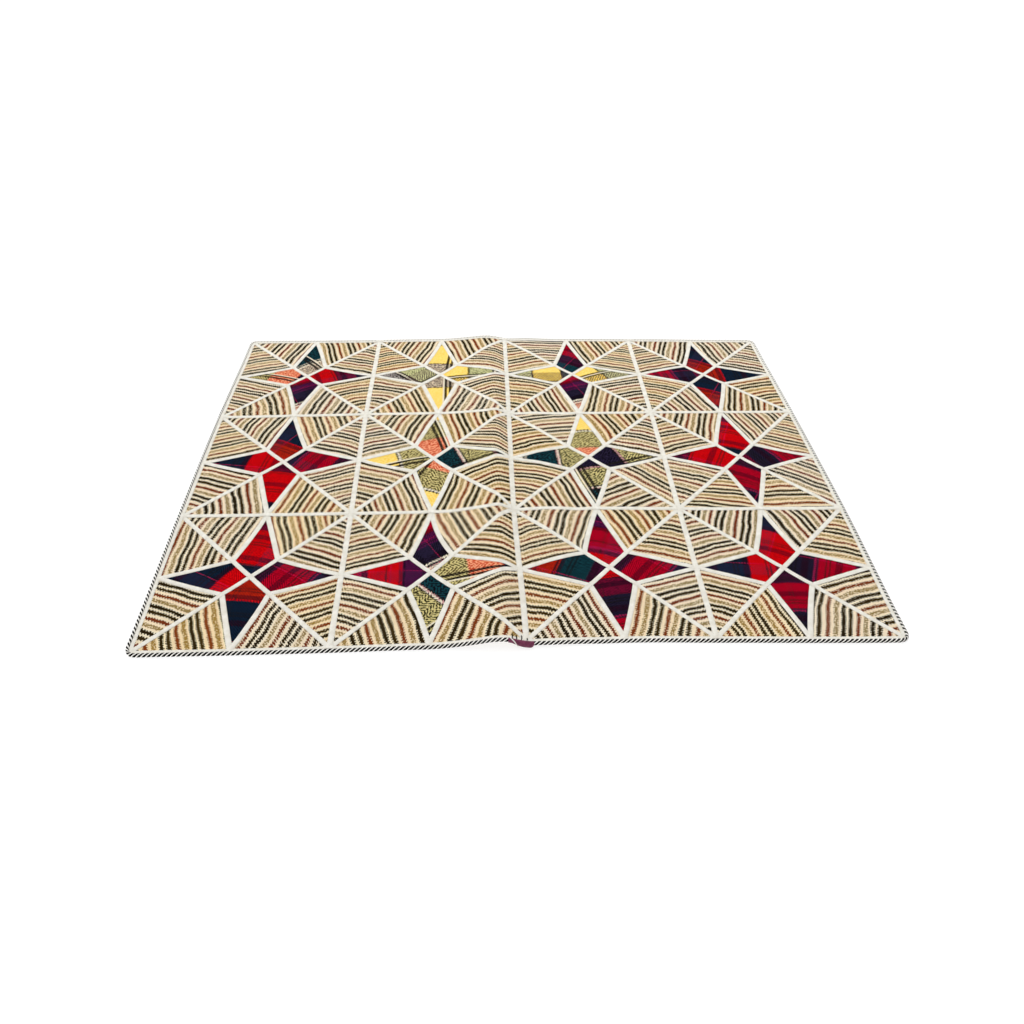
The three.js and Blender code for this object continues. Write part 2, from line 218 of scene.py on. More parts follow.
def triangle_grid(steps):
    """Shares of a triangle's corners at the points of a grid on it, and the grid's triangles."""
    places = [(i, j) for i in range(steps + 1) for j in range(steps + 1 - i)]
    number = {place: count for count, place in enumerate(places)}
    faces = []
    for i, j in places:
        if i + j < steps:
            faces.append((number[i, j], number[i + 1, j], number[i, j + 1]))
        if i + j < steps - 1:
            faces.append((number[i + 1, j], number[i + 1, j + 1], number[i, j + 1]))
    shares = np.array([(steps - i - j, i, j) for i, j in places]) / steps
    return shares, np.array(faces)


def way_between(start, end):
    return (end - start) / np.linalg.norm(end - start)


def left_of(way):
    """The way that is square to another one, on its left."""
    return np.array([-way[1], way[0]])


def turned(way, degrees):
    angle = math.radians(degrees)
    return np.asarray(way) * math.cos(angle) + left_of(way) * math.sin(angle)


def to_seams(points, outline):
    """How far points are from the nearest side of the patch that they are on."""
    nearest = np.full(len(points), np.inf)
    for start, end in zip(outline, np.roll(outline, -1, axis=0)):
        nearest = np.minimum(nearest, np.abs((points - start) @ left_of(way_between(start, end))))
    return nearest


def side_bow(tip, waist, bow):
    """How far and which way the middle of a star side bows."""
    return bow * left_of(way_between(tip, waist))


# The striped wool is cut with its stripes along the star's side, but for a few patches that lie
# another way: column, row, side of the block and side of the tip, with the way in degrees.
TURNED_STRIPES = {
    (2, 0, "back", "after"): 0,
    (0, 2, "left", "before"): 88,
    (2, 1, "back", "after"): 8,
    (2, 1, "front", "after"): 30,
    (2, 1, "right", "before"): -45,
    (3, 1, "front", "before"): -8,
    (3, 1, "front", "after"): 2,
    (3, 1, "right", "before"): -35,
}
STRIPE_REPEAT = 80.5 * MM
STRIPE_FINENESS = 0.09
STRIPE_TURN = 3

# The kites are cut from four plaid cloths. A row gives the cloth, the place along its bands at
# the star's middle in millimetres and whether they run on or back from there to the tip, the
# cloth's turn in degrees, and its place across in millimetres.
PLAIDS = ("red", "wine", "coral", "yellow")
KITE_CUTS = {
    (0, 0): {
        "back": ("coral", 385, 1, 40, 40),
        "left": ("coral", 750, 1, -20, 150),
        "front": ("wine", 245, -1, 30, 20),
        "right": ("red", 50, 1, 20, 70),
    },
    (1, 0): {
        "back": ("coral", 440, -1, -5, 80),
        "left": ("yellow", 108, 1, 45, 95),
        "front": ("coral", 455, -1, 0, 138),
        "right": ("yellow", 0, 1, 0, 72),
    },
    (2, 0): {
        "back": ("red", 530, -1, -32, 20),
        "left": ("yellow", 338, 1, 5, 150),
        "front": ("wine", 252, -1, 22, 90),
        "right": ("yellow", 5, 1, 25, 60),
    },
    (3, 0): {
        "back": ("red", 565, 1, -30, 10),
        "left": ("red", 190, 1, 10, 120),
        "front": ("red", 765, -1, -28, 40),
        "right": ("red", 585, 1, 0, 60),
    },
    (0, 1): {
        "back": ("red", 565, 1, -30, 30),
        "left": ("red", 110, -1, -10, 10),
        "front": ("red", 205, -1, -10, 40),
        "right": ("red", 265, 1, -30, 150),
    },
    (1, 1): {
        "back": ("coral", 770, 1, 16, 58),
        "left": ("coral", 92, 1, 15, 105),
        "front": ("coral", 45, 1, -25, 100),
        "right": ("coral", 490, 1, 20, 30),
    },
    (2, 1): {
        "back": ("coral", 40, 1, 3, 20),
        "left": ("coral", 676, -1, 3, 30),
        "front": ("coral", 742, -1, 15, 60),
        "right": ("coral", 782, -1, 20, 40),
    },
    (3, 1): {
        "back": ("red", 765, 1, -20, 30),
        "left": ("red", 0, 1, -25, 40),
        "front": ("red", 460, -1, -30, 80),
        "right": ("red", 190, 1, 25, 20),
    },
    (0, 2): {
        "back": ("red", 765, 1, -15, 120),
        "left": ("red", 62, -1, -32, 30),
        "front": ("red", 565, 1, -8, 60),
        "right": ("red", 450, -1, -35, 40),
    },
    (1, 2): {
        "back": ("wine", 42, 1, 32, 60),
        "left": ("wine", 492, -1, 0, 110),
        "front": ("coral", 520, 1, -48, 30),
        "right": ("coral", 203, -1, 5, 78),
    },
    (2, 2): {
        "back": ("wine", 366, -1, -20, 100),
        "left": ("red", 425, 1, -25, 50),
        "front": ("red", 110, 1, 10, 20),
        "right": ("red", 445, -1, -40, 70),
    },
    (3, 2): {
        "back": ("red", 150, -1, -25, 20),
        "left": ("red", 95, -1, -5, 150),
        "front": ("red", 475, -1, 0, 70),
        "right": ("red", 215, 1, -20, 40),
    },
}
grid_shares, grid_faces = triangle_grid(PATCH_STEPS)


def kite_cut(column, row, side, middle):
    """A kite's finish, and how its cloth lies: the cloth's origin, start and two ways."""
    cloth, along, onward, turn, across = KITE_CUTS[column, row][SIDE_NAMES[side]]
    band_way = turned(SIDE_WAYS[side], turn)
    ways = np.column_stack((-left_of(band_way), onward * band_way))
    return 1 + PLAIDS.index(cloth), (middle, np.array([across, along]) * MM, ways)


def stripe_cut(column, row, side, follows, tip, waist):
    """How a striped triangle's cloth lies: the cloth's origin, start and two ways."""
    way = way_between(tip, waist)
    key = (column, row, SIDE_NAMES[side], follows)
    if key in TURNED_STRIPES:
        way = turned((1, 0), TURNED_STRIPES[key])
    way = turned(way, hand.uniform(-STRIPE_TURN, STRIPE_TURN)) * hand.choice((-1, 1))
    start = np.array([hand.uniform(0, 1), hand.uniform(0, STRIPE_REPEAT)])
    fine = cutting.uniform(1 - STRIPE_FINENESS, 1 + STRIPE_FINENESS)
    return tip, start, np.column_stack((way, fine * left_of(way)))


def column_cloth(column):
    """One column's plan points and crowns, and its faces with UV places, finishes and dyes."""
    parts = []

    def lay_out(corners, outline, bow, tip_at, waist_at, finish, dye, cut):
        """Adds a triangle of cloth, whose side between its tip and its waist is bowed."""
        origin, start, ways = cut
        points = grid_shares @ corners
        bulge = 4 * grid_shares[:, tip_at] * grid_shares[:, waist_at]
        places = start + (points - origin) @ ways
        parts.append((
            np.column_stack((points, points + bulge[:, None] * bow)),
            CROWN * soft_step((to_seams(points, outline) - CROWN_START) / CROWN_RUN),
            grid_faces + len(parts) * len(points),
            places[grid_faces],
            np.full(len(grid_faces), finish),
            np.tile(dye, (len(grid_faces), 1)),
        ))

    for row in range(ROWS):
        middle, tips, corners, waists = block_places(column, row)
        for side, tip in enumerate(tips):
            before, after = waists[side - 1], waists[side]
            before_bow = side_bow(tip, before, star_bows[column, row, side, 0])
            after_bow = side_bow(tip, after, star_bows[column, row, side, 1])

            finish, cut = kite_cut(column, row, side, middle)
            dye = hand.uniform(size=3)
            kite = np.array([middle, before, tip, after])
            lay_out(kite[[0, 1, 2]], kite, before_bow, 2, 1, finish, dye, cut)
            lay_out(kite[[0, 2, 3]], kite, after_bow, 1, 2, finish, dye, cut)

            cut = stripe_cut(column, row, side, "before", tip, before)
            dye = hand.uniform(size=3)
            triangle = np.array([tip, before, corners[side - 1]])
            lay_out(triangle, triangle, before_bow, 0, 1, 0, dye, cut)

            cut = stripe_cut(column, row, side, "after", tip, after)
            dye = hand.uniform(size=3)
            triangle = np.array([tip, corners[side], after])
            lay_out(triangle, triangle, after_bow, 0, 2, 0, dye, cut)
    return [np.concatenate(part) for part in zip(*parts)]


def pushed_out(points, column):
    """Moves points on the outermost seams out to the cut edge, and on a column's own seams in."""
    left = column * BLOCK_WIDTH - HALF_WIDTH
    pushed = points.copy()
    for place, edge, sign in ((left, -HALF_WIDTH, 1), (left + BLOCK_WIDTH, HALF_WIDTH, -1)):
        on = np.abs(points[:, 0] - place) < TOUCH
        pushed[on, 0] += sign * (-CUT_EDGE if abs(place - edge) < MM else SEAM_GAP)
    for edge in (-HALF_DEPTH, HALF_DEPTH):
        on = np.abs(points[:, 1] - edge) < TOUCH
        pushed[on, 1] += math.copysign(CUT_EDGE, edge)
    past = np.maximum(np.abs(pushed) - np.array([HALF_WIDTH, HALF_DEPTH]), 0)
    reach = np.linalg.norm(past, axis=1)
    both = (past > 0).all(axis=1)
    rounded = np.sign(pushed) * past * (1 - CUT_EDGE / np.maximum(reach, CUT_EDGE))[:, None]
    pushed[both] -= rounded[both]
    return pushed


def closed_sheet(faces, count, places):
    """The faces of a sheet's top, underside and rim, their UV places, and each rim face's top face.

    The underside's points come after the top's.
    """
    edges = np.stack((faces, np.roll(faces, -1, axis=1)), axis=2).reshape(-1, 2)
    edge_places = np.stack((places, np.roll(places, -1, axis=1)), axis=2).reshape(-1, 2, 2)
    rim = ~np.isin(edges @ (count, 1), edges @ (1, count))
    start, end = edges[rim].T
    walls = np.column_stack((start + count, end + count, end, start))
    wall_places = edge_places[rim][:, [0, 1, 1, 0]]
    under = np.roll(faces[:, ::-1], 1, axis=1) + count
    under_places = np.roll(places[:, ::-1], 1, axis=1)
    all_faces = faces.tolist() + under.tolist() + walls.tolist()
    all_places = [part.reshape(-1, 2) for part in (places, under_places, wall_places)]
    owner = np.repeat(np.arange(len(faces)), faces.shape[1])[rim]
    return all_faces, np.concatenate(all_places), owner


cloths = []
for column in range(COLUMNS):
    plan, crowns, faces, places, finishes, dyes = column_cloth(column)
    flat_points = np.round(plan[:, :2], 6)
    first, merged = np.unique(flat_points, axis=0, return_index=True, return_inverse=True)[1:]
    plan = plan[first]
    faces = merged.ravel()[faces]
    shape = pushed_out(plan[:, :2], column) + plan[:, 2:] - plan[:, :2]
    top = lie(shape[:, 0], shape[:, 1], CLOTH_THICK + crowns[first])
    under = lie(shape[:, 0], shape[:, 1], np.zeros(len(shape)))
    all_faces, all_places, owner = closed_sheet(faces, len(shape), places)
    points = np.concatenate([top, under])
    cloth = new_piece(f"pieced_column_{column + 1}", points, all_faces, all_places)
    face_finish = np.concatenate([finishes, finishes, finishes[owner]])
    face_dye = np.concatenate([dyes, dyes, dyes[owner]])
    cloth.data.polygons.foreach_set("material_index", face_finish.astype(np.int32))
    dye = cloth.data.attributes.new("dye", "FLOAT_VECTOR", "FACE")
    dye.data.foreach_set("vector", face_dye.astype(np.float32).ravel())
    cloths.append(cloth)

# The wools are woven in twill from dyed yarn, so no colour is quite even. Colours are given as
# they are seen on a screen, and the patterns follow each patch's own UV place, in metres.
CLOTH_GLOSS = 0.01
SHEEN_ROUGHNESS = 0.6
BUMP_STRENGTH = 0.6
WOOL_ROUGHNESS = 0.95
FLECK_SCALE = 700
CLOUD_SCALE = 14
CLOUD_LEVEL = (0.24, 0.88)


def shade(red, green, blue):
    """A colour seen on a screen, as the light values that a shader takes."""
    parts = [part / 255 for part in (red, green, blue)]
    return (*[p / 12.92 if p < 0.04045 else ((p + 0.055) / 1.055) ** 2.4 for p in parts], 1.0)


class Finish:
    """A new material for a cloth or a yarn, with short ways to add nodes to it."""

    def __init__(self, name, roughness, gloss=CLOTH_GLOSS, sheen=0.0):
        self.material = bpy.data.materials.new(name)
        self.material.use_nodes = True
        self.tree = self.material.node_tree
        self.shader = next(node for node in self.tree.nodes if node.type == "BSDF_PRINCIPLED")
        self.shader.inputs["Roughness"].default_value = roughness
        self.shader.inputs["Specular IOR Level"].default_value = gloss
        self.shader.inputs["Sheen Weight"].default_value = sheen
        self.shader.inputs["Sheen Roughness"].default_value = SHEEN_ROUGHNESS

    def node(self, kind, inputs, **settings):
        """Adds a node with plain values or links on its inputs, and returns its outputs."""
        made = self.tree.nodes.new(f"ShaderNode{kind}")
        for setting, value in settings.items():
            setattr(made, setting, value)
        for socket, value in inputs.items():
            if isinstance(value, bpy.types.NodeSocket):
                self.tree.links.new(value, made.inputs[socket])
            else:
                made.inputs[socket].default_value = value
        return made.outputs

    def run(self):
        """The piece's own UV place, whole and in its two parts."""
        run = self.node("UVMap", {}, uv_map="run")["UV"]
        return (run, *self.parts(run)[:2])

    def spot(self):
        """The place on the object."""
        return self.node("TexCoord", {})["Object"]

    def parts(self, vector):
        return self.node("SeparateXYZ", {0: vector})

    def vector(self, x, y, z=0.0):
        return self.node("CombineXYZ", {0: x, 1: y, 2: z})[0]

    def noise(self, place, scale, detail=2.0):
        return self.node("TexNoise", {"Vector": place, "Scale": scale, "Detail": detail})["Fac"]

    def maths(self, operation, *values, clamp=False):
        return self.node("Math", dict(enumerate(values)), operation=operation, use_clamp=clamp)[0]

    def times(self, first, second):
        return self.maths("MULTIPLY", first, second)

    def scaled(self, value, gain, start, clamp=False):
        return self.maths("MULTIPLY_ADD", value, gain, start, clamp=clamp)

    def repeat(self, place, length):
        """The place within a repeat of this length, from 0 to 1."""
        return self.maths("FRACT", self.maths("DIVIDE", place, length))

    def mixed(self, share, first, second, way="MIX"):
        inputs = {0: share, 6: first, 7: second}
        return self.node("Mix", inputs, data_type="RGBA", blend_type=way)[2]

    def ramp(self, place, stops, interpolation="LINEAR"):
        """A colour ramp through (place, colour) stops, as its colour and its alpha."""
        made = self.tree.nodes.new("ShaderNodeValToRGB")
        made.color_ramp.interpolation = interpolation
        elements = made.color_ramp.elements
        elements.remove(elements[1])
        elements[0].position, elements[0].color = stops[0]
        for position, colour in stops[1:]:
            elements.new(position).color = colour
        self.tree.links.new(place, made.inputs["Fac"])
        return made.outputs["Color"], made.outputs["Alpha"]

    def levelled(self, colour, level):
        """The colour made darker or lighter."""
        return self.mixed(1.0, colour, self.vector(level, level, level), "MULTIPLY")

    def heathered(self, colour, run, amount):
        """Uneven dyeing: a little darker and lighter in fine flecks and in broad clouds."""
        flecks = self.scaled(self.noise(run, FLECK_SCALE, 1.0), amount, 1 - 0.5 * amount)
        clouds = self.scaled(self.noise(run, CLOUD_SCALE), *CLOUD_LEVEL)
        return self.levelled(colour, self.times(flecks, clouds))

    def dyed(self, colour):
        self.tree.links.new(colour, self.shader.inputs["Base Color"])

    def raised(self, height, depth):
        inputs = {"Height": height, "Distance": depth, "Strength": BUMP_STRENGTH}
        self.tree.links.new(self.node("Bump", inputs)["Normal"], self.shader.inputs["Normal"])


# The striped wool: two dark stripes, a rust one and a broken khaki one on cream. Each is a row of
# slanting strokes that run into each other along its middle, and the dye, the lean and how far
# they run in differ by patch. A stripe has its place in the repeat, half its width with the
# strokes and without, and how much it covers.
STRIPES = [
    (0.12, 0.085, 0.045, 1.3),
    (0.35, 0.081, 0.041, 1.3),
    (0.62, 0.076, 0.038, 1.15),
    (0.872, 0.08, 0.056, 0.8),
]
STRIPE_EDGE = 0.008
THREAD_STARTS = (0.0, 0.235, 0.485, 0.745)
PLAIN_THREADS = (shade(36, 27, 14), shade(46, 34, 16), shade(106, 44, 26), shade(138, 120, 80))
GOLDEN_THREADS = (shade(46, 34, 12), shade(60, 44, 15), shade(124, 60, 25), shade(153, 121, 60))
GROUND_STARTS = (0.3, 0.6)
PLAIN_GROUND = (shade(243, 232, 209), shade(242, 225, 199))
GOLDEN_GROUND = (shade(243, 228, 190), shade(243, 218, 174))
GROUND_FLECK = shade(168, 150, 112)
GROUND_FLECK_SHARE = 0.26
STRIPE_HEATHER = 0.3
# Long waves in the stripes, in turns to a metre along and across them, and small unevenness.
STRIPE_WAVES = (11.0, 9.0)
STRIPE_WAVE_HEIGHT = 20 * MM
UNEVEN_SCALE = 150
STRIPE_UNEVEN = 6 * MM
STROKE_UNEVEN = 7 * MM
STROKE_PITCH = 8.5 * MM
STROKE_LEAN = 0.65
STROKE_FALL = -2.0
STRIPE_FLECK_SCALE = 190
STRIPE_GRAIN_SCALE = 400
STRIPE_RELIEF = 0.8 * MM
# Gains and starts: from a stroke's middle to its edge, from run-in to broken stripes, from bare
# wool to flecks, and from covered to bare wool.
STROKE_FADE = (-9.0, 2.9)
RUN_IN = (-0.4, 1.0)
STRIPE_FLECKS = (2.8, -0.9)
COVER_FADE = (4.0, 0.55)
LEAST_COVER = 0.02


def stripe_cover(width_at):
    """The stripes as the stops of a ramp, with or without their strokes."""
    bare = (0, 0, 0, 1)
    stops = [(0.0, bare)]
    for stripe in STRIPES:
        place, half, full = stripe[0], stripe[width_at], (*[stripe[3]] * 3, 1)
        stops += [(place - half - STRIPE_EDGE, bare), (place - half, full)]
        stops += [(place + half, full), (place + half + STRIPE_EDGE, bare)]
    return stops


wool = Finish("striped_wool", WOOL_ROUGHNESS)
run, along, across = wool.run()
golden, broken, lean = wool.parts(wool.node("Attribute", {}, attribute_name="dye")["Vector"])
wave_place = wool.vector(wool.times(along, STRIPE_WAVES[0]), wool.times(across, STRIPE_WAVES[1]))
wave = wool.maths("SUBTRACT", wool.noise(wave_place, 1.0), 0.5)
uneven = wool.noise(run, UNEVEN_SCALE, 1.0)
leaning = wool.scaled(wool.maths("GREATER_THAN", lean, 0.5), 2 * STROKE_LEAN, -STROKE_LEAN)
stroke_place = wool.scaled(uneven, STROKE_UNEVEN, wool.scaled(across, leaning, along))
stroke = wool.maths("SUBTRACT", wool.repeat(stroke_place, STROKE_PITCH), 0.5)
off_stroke = wool.maths("ABSOLUTE", stroke)
place = wool.scaled(uneven, STRIPE_UNEVEN, wool.scaled(wave, STRIPE_WAVE_HEIGHT, across))
repeat = wool.repeat(place, STRIPE_REPEAT)
strokes = wool.ramp(repeat, stripe_cover(1))[0]
core = wool.ramp(repeat, stripe_cover(2))[0]
on_stroke = wool.scaled(off_stroke, *STROKE_FADE, clamp=True)
run_in = wool.scaled(broken, *RUN_IN)
cover = wool.maths("MAXIMUM", wool.times(strokes, on_stroke), wool.times(core, run_in))
fleck = wool.scaled(wool.noise(run, STRIPE_FLECK_SCALE, 1.0), *STRIPE_FLECKS, clamp=True)
shown = wool.scaled(wool.maths("SUBTRACT", cover, fleck), *COVER_FADE, clamp=True)
shown = wool.times(shown, wool.maths("GREATER_THAN", cover, LEAST_COVER))
plain_thread, golden_thread = (
    wool.ramp(repeat, list(zip(THREAD_STARTS, threads)), "CONSTANT")[0]
    for threads in (PLAIN_THREADS, GOLDEN_THREADS)
)
plain_ground, golden_ground = (
    wool.ramp(repeat, list(zip(GROUND_STARTS, ground)))[0] for ground in (PLAIN_GROUND, GOLDEN_GROUND)
)
ground = wool.mixed(golden, plain_ground, golden_ground)
ground = wool.mixed(wool.times(fleck, GROUND_FLECK_SHARE), ground, GROUND_FLECK)
colour = wool.mixed(shown, ground, wool.mixed(golden, plain_thread, golden_thread))
wool.dyed(wool.heathered(colour, run, STRIPE_HEATHER))
crest = wool.times(off_stroke, STROKE_FALL)
wool.raised(wool.maths("ADD", crest, wool.noise(run, STRIPE_GRAIN_SCALE)), STRIPE_RELIEF)

# The plaid wools. A band has its width in millimetres and the colours of its two threads, which
# show by turns in a twill. A line has its width, its colour and how strongly it shows.
red, deep_red = shade(220, 6, 14), shade(148, 2, 8)
crimson, deep_crimson = shade(186, 4, 36), shade(116, 2, 22)
wine, dark_wine = shade(122, 14, 48), shade(44, 8, 28)
plum, dark_plum = shade(74, 20, 54), shade(22, 10, 22)
purple, dark_purple = shade(86, 18, 68), shade(34, 12, 38)
navy, dark_navy = shade(37, 30, 54), shade(12, 10, 19)
sea_navy, dark_sea_navy = shade(18, 36, 58), shade(6, 14, 24)
teal, dark_teal = shade(18, 62, 70), shade(8, 22, 30)
rust, dark_rust = shade(192, 38, 16), shade(106, 16, 10)
magenta = shade(176, 24, 74)
black, cream = shade(28, 24, 24), shade(230, 220, 196)
yellow, pale_yellow = shade(246, 206, 92), shade(250, 220, 128)
pale_olive, olive, dark_olive = shade(208, 194, 130), shade(82, 70, 40), shade(46, 44, 28)
pale_sage, sage = shade(206, 204, 150), shade(130, 132, 88)
pale_coral, coral = shade(238, 164, 124), shade(196, 68, 42)
pale_taupe, taupe = shade(212, 194, 166), shade(84, 66, 62)
pale_grey, grey = shade(168, 160, 152), shade(54, 50, 52)
pink = shade(190, 140, 140)
clear = (0.0, 0.0, 0.0, 0.0)

PLAID_BANDS = {
    "red": [
        (150, red, deep_red), (70, wine, dark_wine), (80, navy, dark_navy),
        (3, magenta, magenta), (4, navy, dark_navy), (3, magenta, magenta),
        (100, crimson, deep_crimson), (60, plum, dark_plum), (85, teal, dark_teal),
        (4, black, black), (3, rust, rust), (3, black, black),
        (90, rust, dark_rust), (5, red, red), (150, sea_navy, dark_sea_navy),
    ],
    "wine": [
        (60, pale_taupe, coral), (6, cream, cream), (7, black, black),
        (6, cream, cream), (7, black, black), (60, navy, dark_navy),
        (50, purple, dark_purple), (90, crimson, deep_crimson), (30, magenta, wine),
        (90, red, deep_red), (3, magenta, magenta), (3, red, red), (3, magenta, magenta),
        (110, purple, dark_purple), (45, pale_grey, grey),
    ],
    "coral": [
        (95, pale_coral, coral), (95, pale_olive, olive),
        (5, black, black), (5, cream, cream), (5, black, black),
        (150, yellow, pale_yellow), (5, black, black), (95, pale_taupe, taupe),
        (5, cream, cream), (8, black, black), (5, cream, cream), (95, teal, dark_navy),
        (5, black, black), (8, cream, pink), (5, black, black), (90, pale_olive, dark_olive),
        (5, black, black), (6, pink, pink), (5, black, black), (90, navy, dark_navy),
    ],
    "yellow": [
        (105, yellow, pale_yellow), (6, black, black), (85, pale_sage, sage),
        (8, black, black), (7, cream, cream), (8, black, black), (74, pale_grey, grey),
        (5, cream, cream), (25, black, grey), (50, teal, dark_teal), (8, black, black),
    ],
}
# Lines across the bands, and pin lines along the bands of the two dark plaids.
PLAID_LINES = {
    "red": [
        (70, clear, 0), (3, black, 0.5), (7, clear, 0), (3, black, 0.5), (32, clear, 0),
        (40, navy, 0.35), (5, clear, 0), (3, magenta, 0.5), (27, clear, 0),
    ],
    "wine": [
        (60, clear, 0), (4, black, 0.5), (10, clear, 0), (45, navy, 0.3),
        (3, magenta, 0.4), (68, clear, 0),
    ],
    "coral": [
        (96, clear, 0), (10, black, 0.95), (6, clear, 0), (9, black, 0.95),
        (6, cream, 0.85), (120, clear, 0),
    ],
    "yellow": [
        (88, clear, 0), (8, black, 0.9), (6, cream, 0.85), (8, black, 0.9),
        (60, taupe, 0.5), (35, clear, 0),
    ],
}
PLAID_PINS = {
    "red": [
        (46, clear, 0), (4, black, 0.6), (7, clear, 0), (4, black, 0.6),
        (13, clear, 0), (20, dark_wine, 0.4),
    ],
    "wine": [
        (50, clear, 0), (4, black, 0.6), (8, clear, 0), (4, magenta, 0.4),
        (21, clear, 0), (18, dark_plum, 0.45),
    ],
}
# Each twill's pitch and the width of its chevrons in millimetres, and how unevenly it shows.
PLAID_TWILL = {
    "red": (8, 70, 2.8),
    "wine": (9.5, 40, 4.0),
    "coral": (11.5, 24, 11.2),
    "yellow": (11.5, 28, 11.2),
}
TWILL_UNEVEN_SCALE = 200
TWILL_UNEVEN = 0.9
TWILL_GRAIN_SCALE = 125
BAND_UNEVEN = 3 * MM
BAND_TEETH = 7 * MM
PLAID_HEATHER = 0.5
PLAID_WEAVE_SCALE = 500
PLAID_RELIEF = 0.5 * MM
# Gains and starts: from one thread of a band to the other, and from a line to the band under it.
TWILL_FADE = (4.0, -1.5)
LINE_FADE = (5.0, 0.5)
LEAST_LINE = 0.01


def band_stops(bands, value):
    """Even bands as the stops of a ramp over one repeat, with the repeat's length in metres."""
    length = sum(band[0] for band in bands)
    starts = np.cumsum([0] + [band[0] for band in bands[:-1]]) / length
    return [(float(start), value(band)) for start, band in zip(starts, bands)], length * MM


def plaid_wool(name):
    """A plaid cloth's finish."""
    plaid = Finish(f"{name}_plaid", WOOL_ROUGHNESS)
    run, across, along = plaid.run()
    pitch, chevron, unevenness = PLAID_TWILL[name]
    twill = pitch * MM
    uneven = plaid.noise(run, TWILL_UNEVEN_SCALE, 1.0)
    zigzag = plaid.maths("ADD", plaid.maths("PINGPONG", across, chevron * MM), along)
    zigzag = plaid.scaled(uneven, TWILL_UNEVEN * twill, zigzag)
    turn = plaid.maths("DIVIDE", plaid.maths("PINGPONG", zigzag, twill / 2), twill / 2)
    tooth = plaid.maths("SUBTRACT", turn, 0.5)
    along_place = plaid.scaled(uneven, BAND_UNEVEN, plaid.scaled(tooth, BAND_TEETH, along))
    across_place = plaid.scaled(uneven, BAND_UNEVEN, across)

    front_stops, length = band_stops(PLAID_BANDS[name], lambda band: band[1])
    back_stops, length = band_stops(PLAID_BANDS[name], lambda band: band[2])
    repeat = plaid.repeat(along_place, length)
    front = plaid.ramp(repeat, front_stops, "CONSTANT")[0]
    back = plaid.ramp(repeat, back_stops, "CONSTANT")[0]
    grain = plaid.maths("SUBTRACT", plaid.noise(run, TWILL_GRAIN_SCALE, 1.0), 0.5)
    grain = plaid.times(grain, unevenness)
    shown = plaid.maths("ADD", plaid.scaled(turn, *TWILL_FADE), grain, clamp=True)
    colour = plaid.mixed(shown, front, back)

    layers = [(across_place, PLAID_LINES[name], plaid.maths("SUBTRACT", 1.0, turn))]
    if name in PLAID_PINS:
        layers.append((along_place, PLAID_PINS[name], turn))
    for place, lines, crest in layers:
        stops, length = band_stops(lines, lambda line: (*line[1][:3], line[2]))
        line, strength = plaid.ramp(plaid.repeat(place, length), stops, "CONSTANT")
        over = plaid.scaled(plaid.maths("SUBTRACT", strength, crest), *LINE_FADE, clamp=True)
        over = plaid.times(over, plaid.maths("GREATER_THAN", strength, LEAST_LINE))
        colour = plaid.mixed(over, colour, line)
    plaid.dyed(plaid.heathered(colour, run, PLAID_HEATHER))
    plaid.raised(plaid.maths("ADD", turn, plaid.noise(run, PLAID_WEAVE_SCALE)), PLAID_RELIEF)
    return plaid


wools = [wool] + [plaid_wool(name) for name in PLAIDS]
for cloth in cloths:
    fit(cloth, "pieced_wool", wools, "pieced_cloth")

# The seam tape: white cotton tape sewn flat over every seam. The column tapes run whole over the
# ends of the cross tapes, those lie over the ends of the diagonals and the star sides, and the
# diagonals over the waists.
TAPE_THICK = 1.1 * MM
TAPE_GAP = 0.3 * MM
COLUMN_TAPE = 16 * MM
ROW_TAPE = 15 * MM
DIAGONAL_TAPE = 14 * MM
STAR_TAPE = 15 * MM
EDGE_TAPE = 10.5 * MM
TAPE_STEP = 9 * MM
TAPE_UNEVEN = 0.022
TIP_LAP = 0.1
# Across a tape: share of its half width, and height in tape thicknesses.
TAPE_SECTION = [
    (-0.9, 0.0), (0.0, 0.0), (0.9, 0.0), (1.0, 0.35), (0.95, 0.8),
    (0.6, 1.0), (0.0, 1.12), (-0.6, 1.0), (-0.95, 0.8), (-1.0, 0.35),
]
# How far from a crossing a tape starts to rise, and how much of the rise is level.
HUMP_RUN = 22 * MM
HUMP_LEVEL = 1.8
TAPE_ROUGHNESS = 0.9
TAPE_SOILING = [(0.3, shade(228, 223, 210)), (0.62, shade(243, 240, 231))]
TAPE_SOILING_SCALE = 45
TAPE_HEATHER = 0.12
TAPE_RIBS = (1.6 * MM, 2.4 * MM)
TAPE_GRAIN_SCALE = 300
TAPE_RELIEF = 0.3 * MM


def run_length(line):
    """The length along a plan line at each of its points."""
    return np.concatenate([[0], np.cumsum(np.linalg.norm(np.diff(line, axis=0), axis=1))])


def along_line(places, length, line):
    """Plan points at lengths along a line."""
    return np.column_stack([np.interp(places, length, line[:, axis]) for axis in (0, 1)])


def stepped_line(points):
    """Points about a step of tape apart along a line through plan points."""
    points = np.asarray(points, float)
    length = run_length(points)
    count = max(2, round(length[-1] / TAPE_STEP) + 1)
    return along_line(np.linspace(0, length[-1], count), length, points)


def bowed_line(tip, waist, bow):
    """A star side from its tip to its waist, with its bow."""
    count = round(np.linalg.norm(waist - tip) / TAPE_STEP) + 1
    share = np.linspace(0, 1, count)[:, None]
    return tip + share * (waist - tip) + 4 * share * (1 - share) * side_bow(tip, waist, bow)


def humps(line, crossings):
    """How far a tape rises where it passes over other tapes, in layers of tape."""
    rise = np.zeros(len(line))
    for crossing, layers in crossings:
        near = soft_step(1 - np.linalg.norm(line - crossing, axis=1) / HUMP_RUN)
        rise = np.maximum(rise, layers * np.minimum(1, HUMP_LEVEL * near))
    return rise


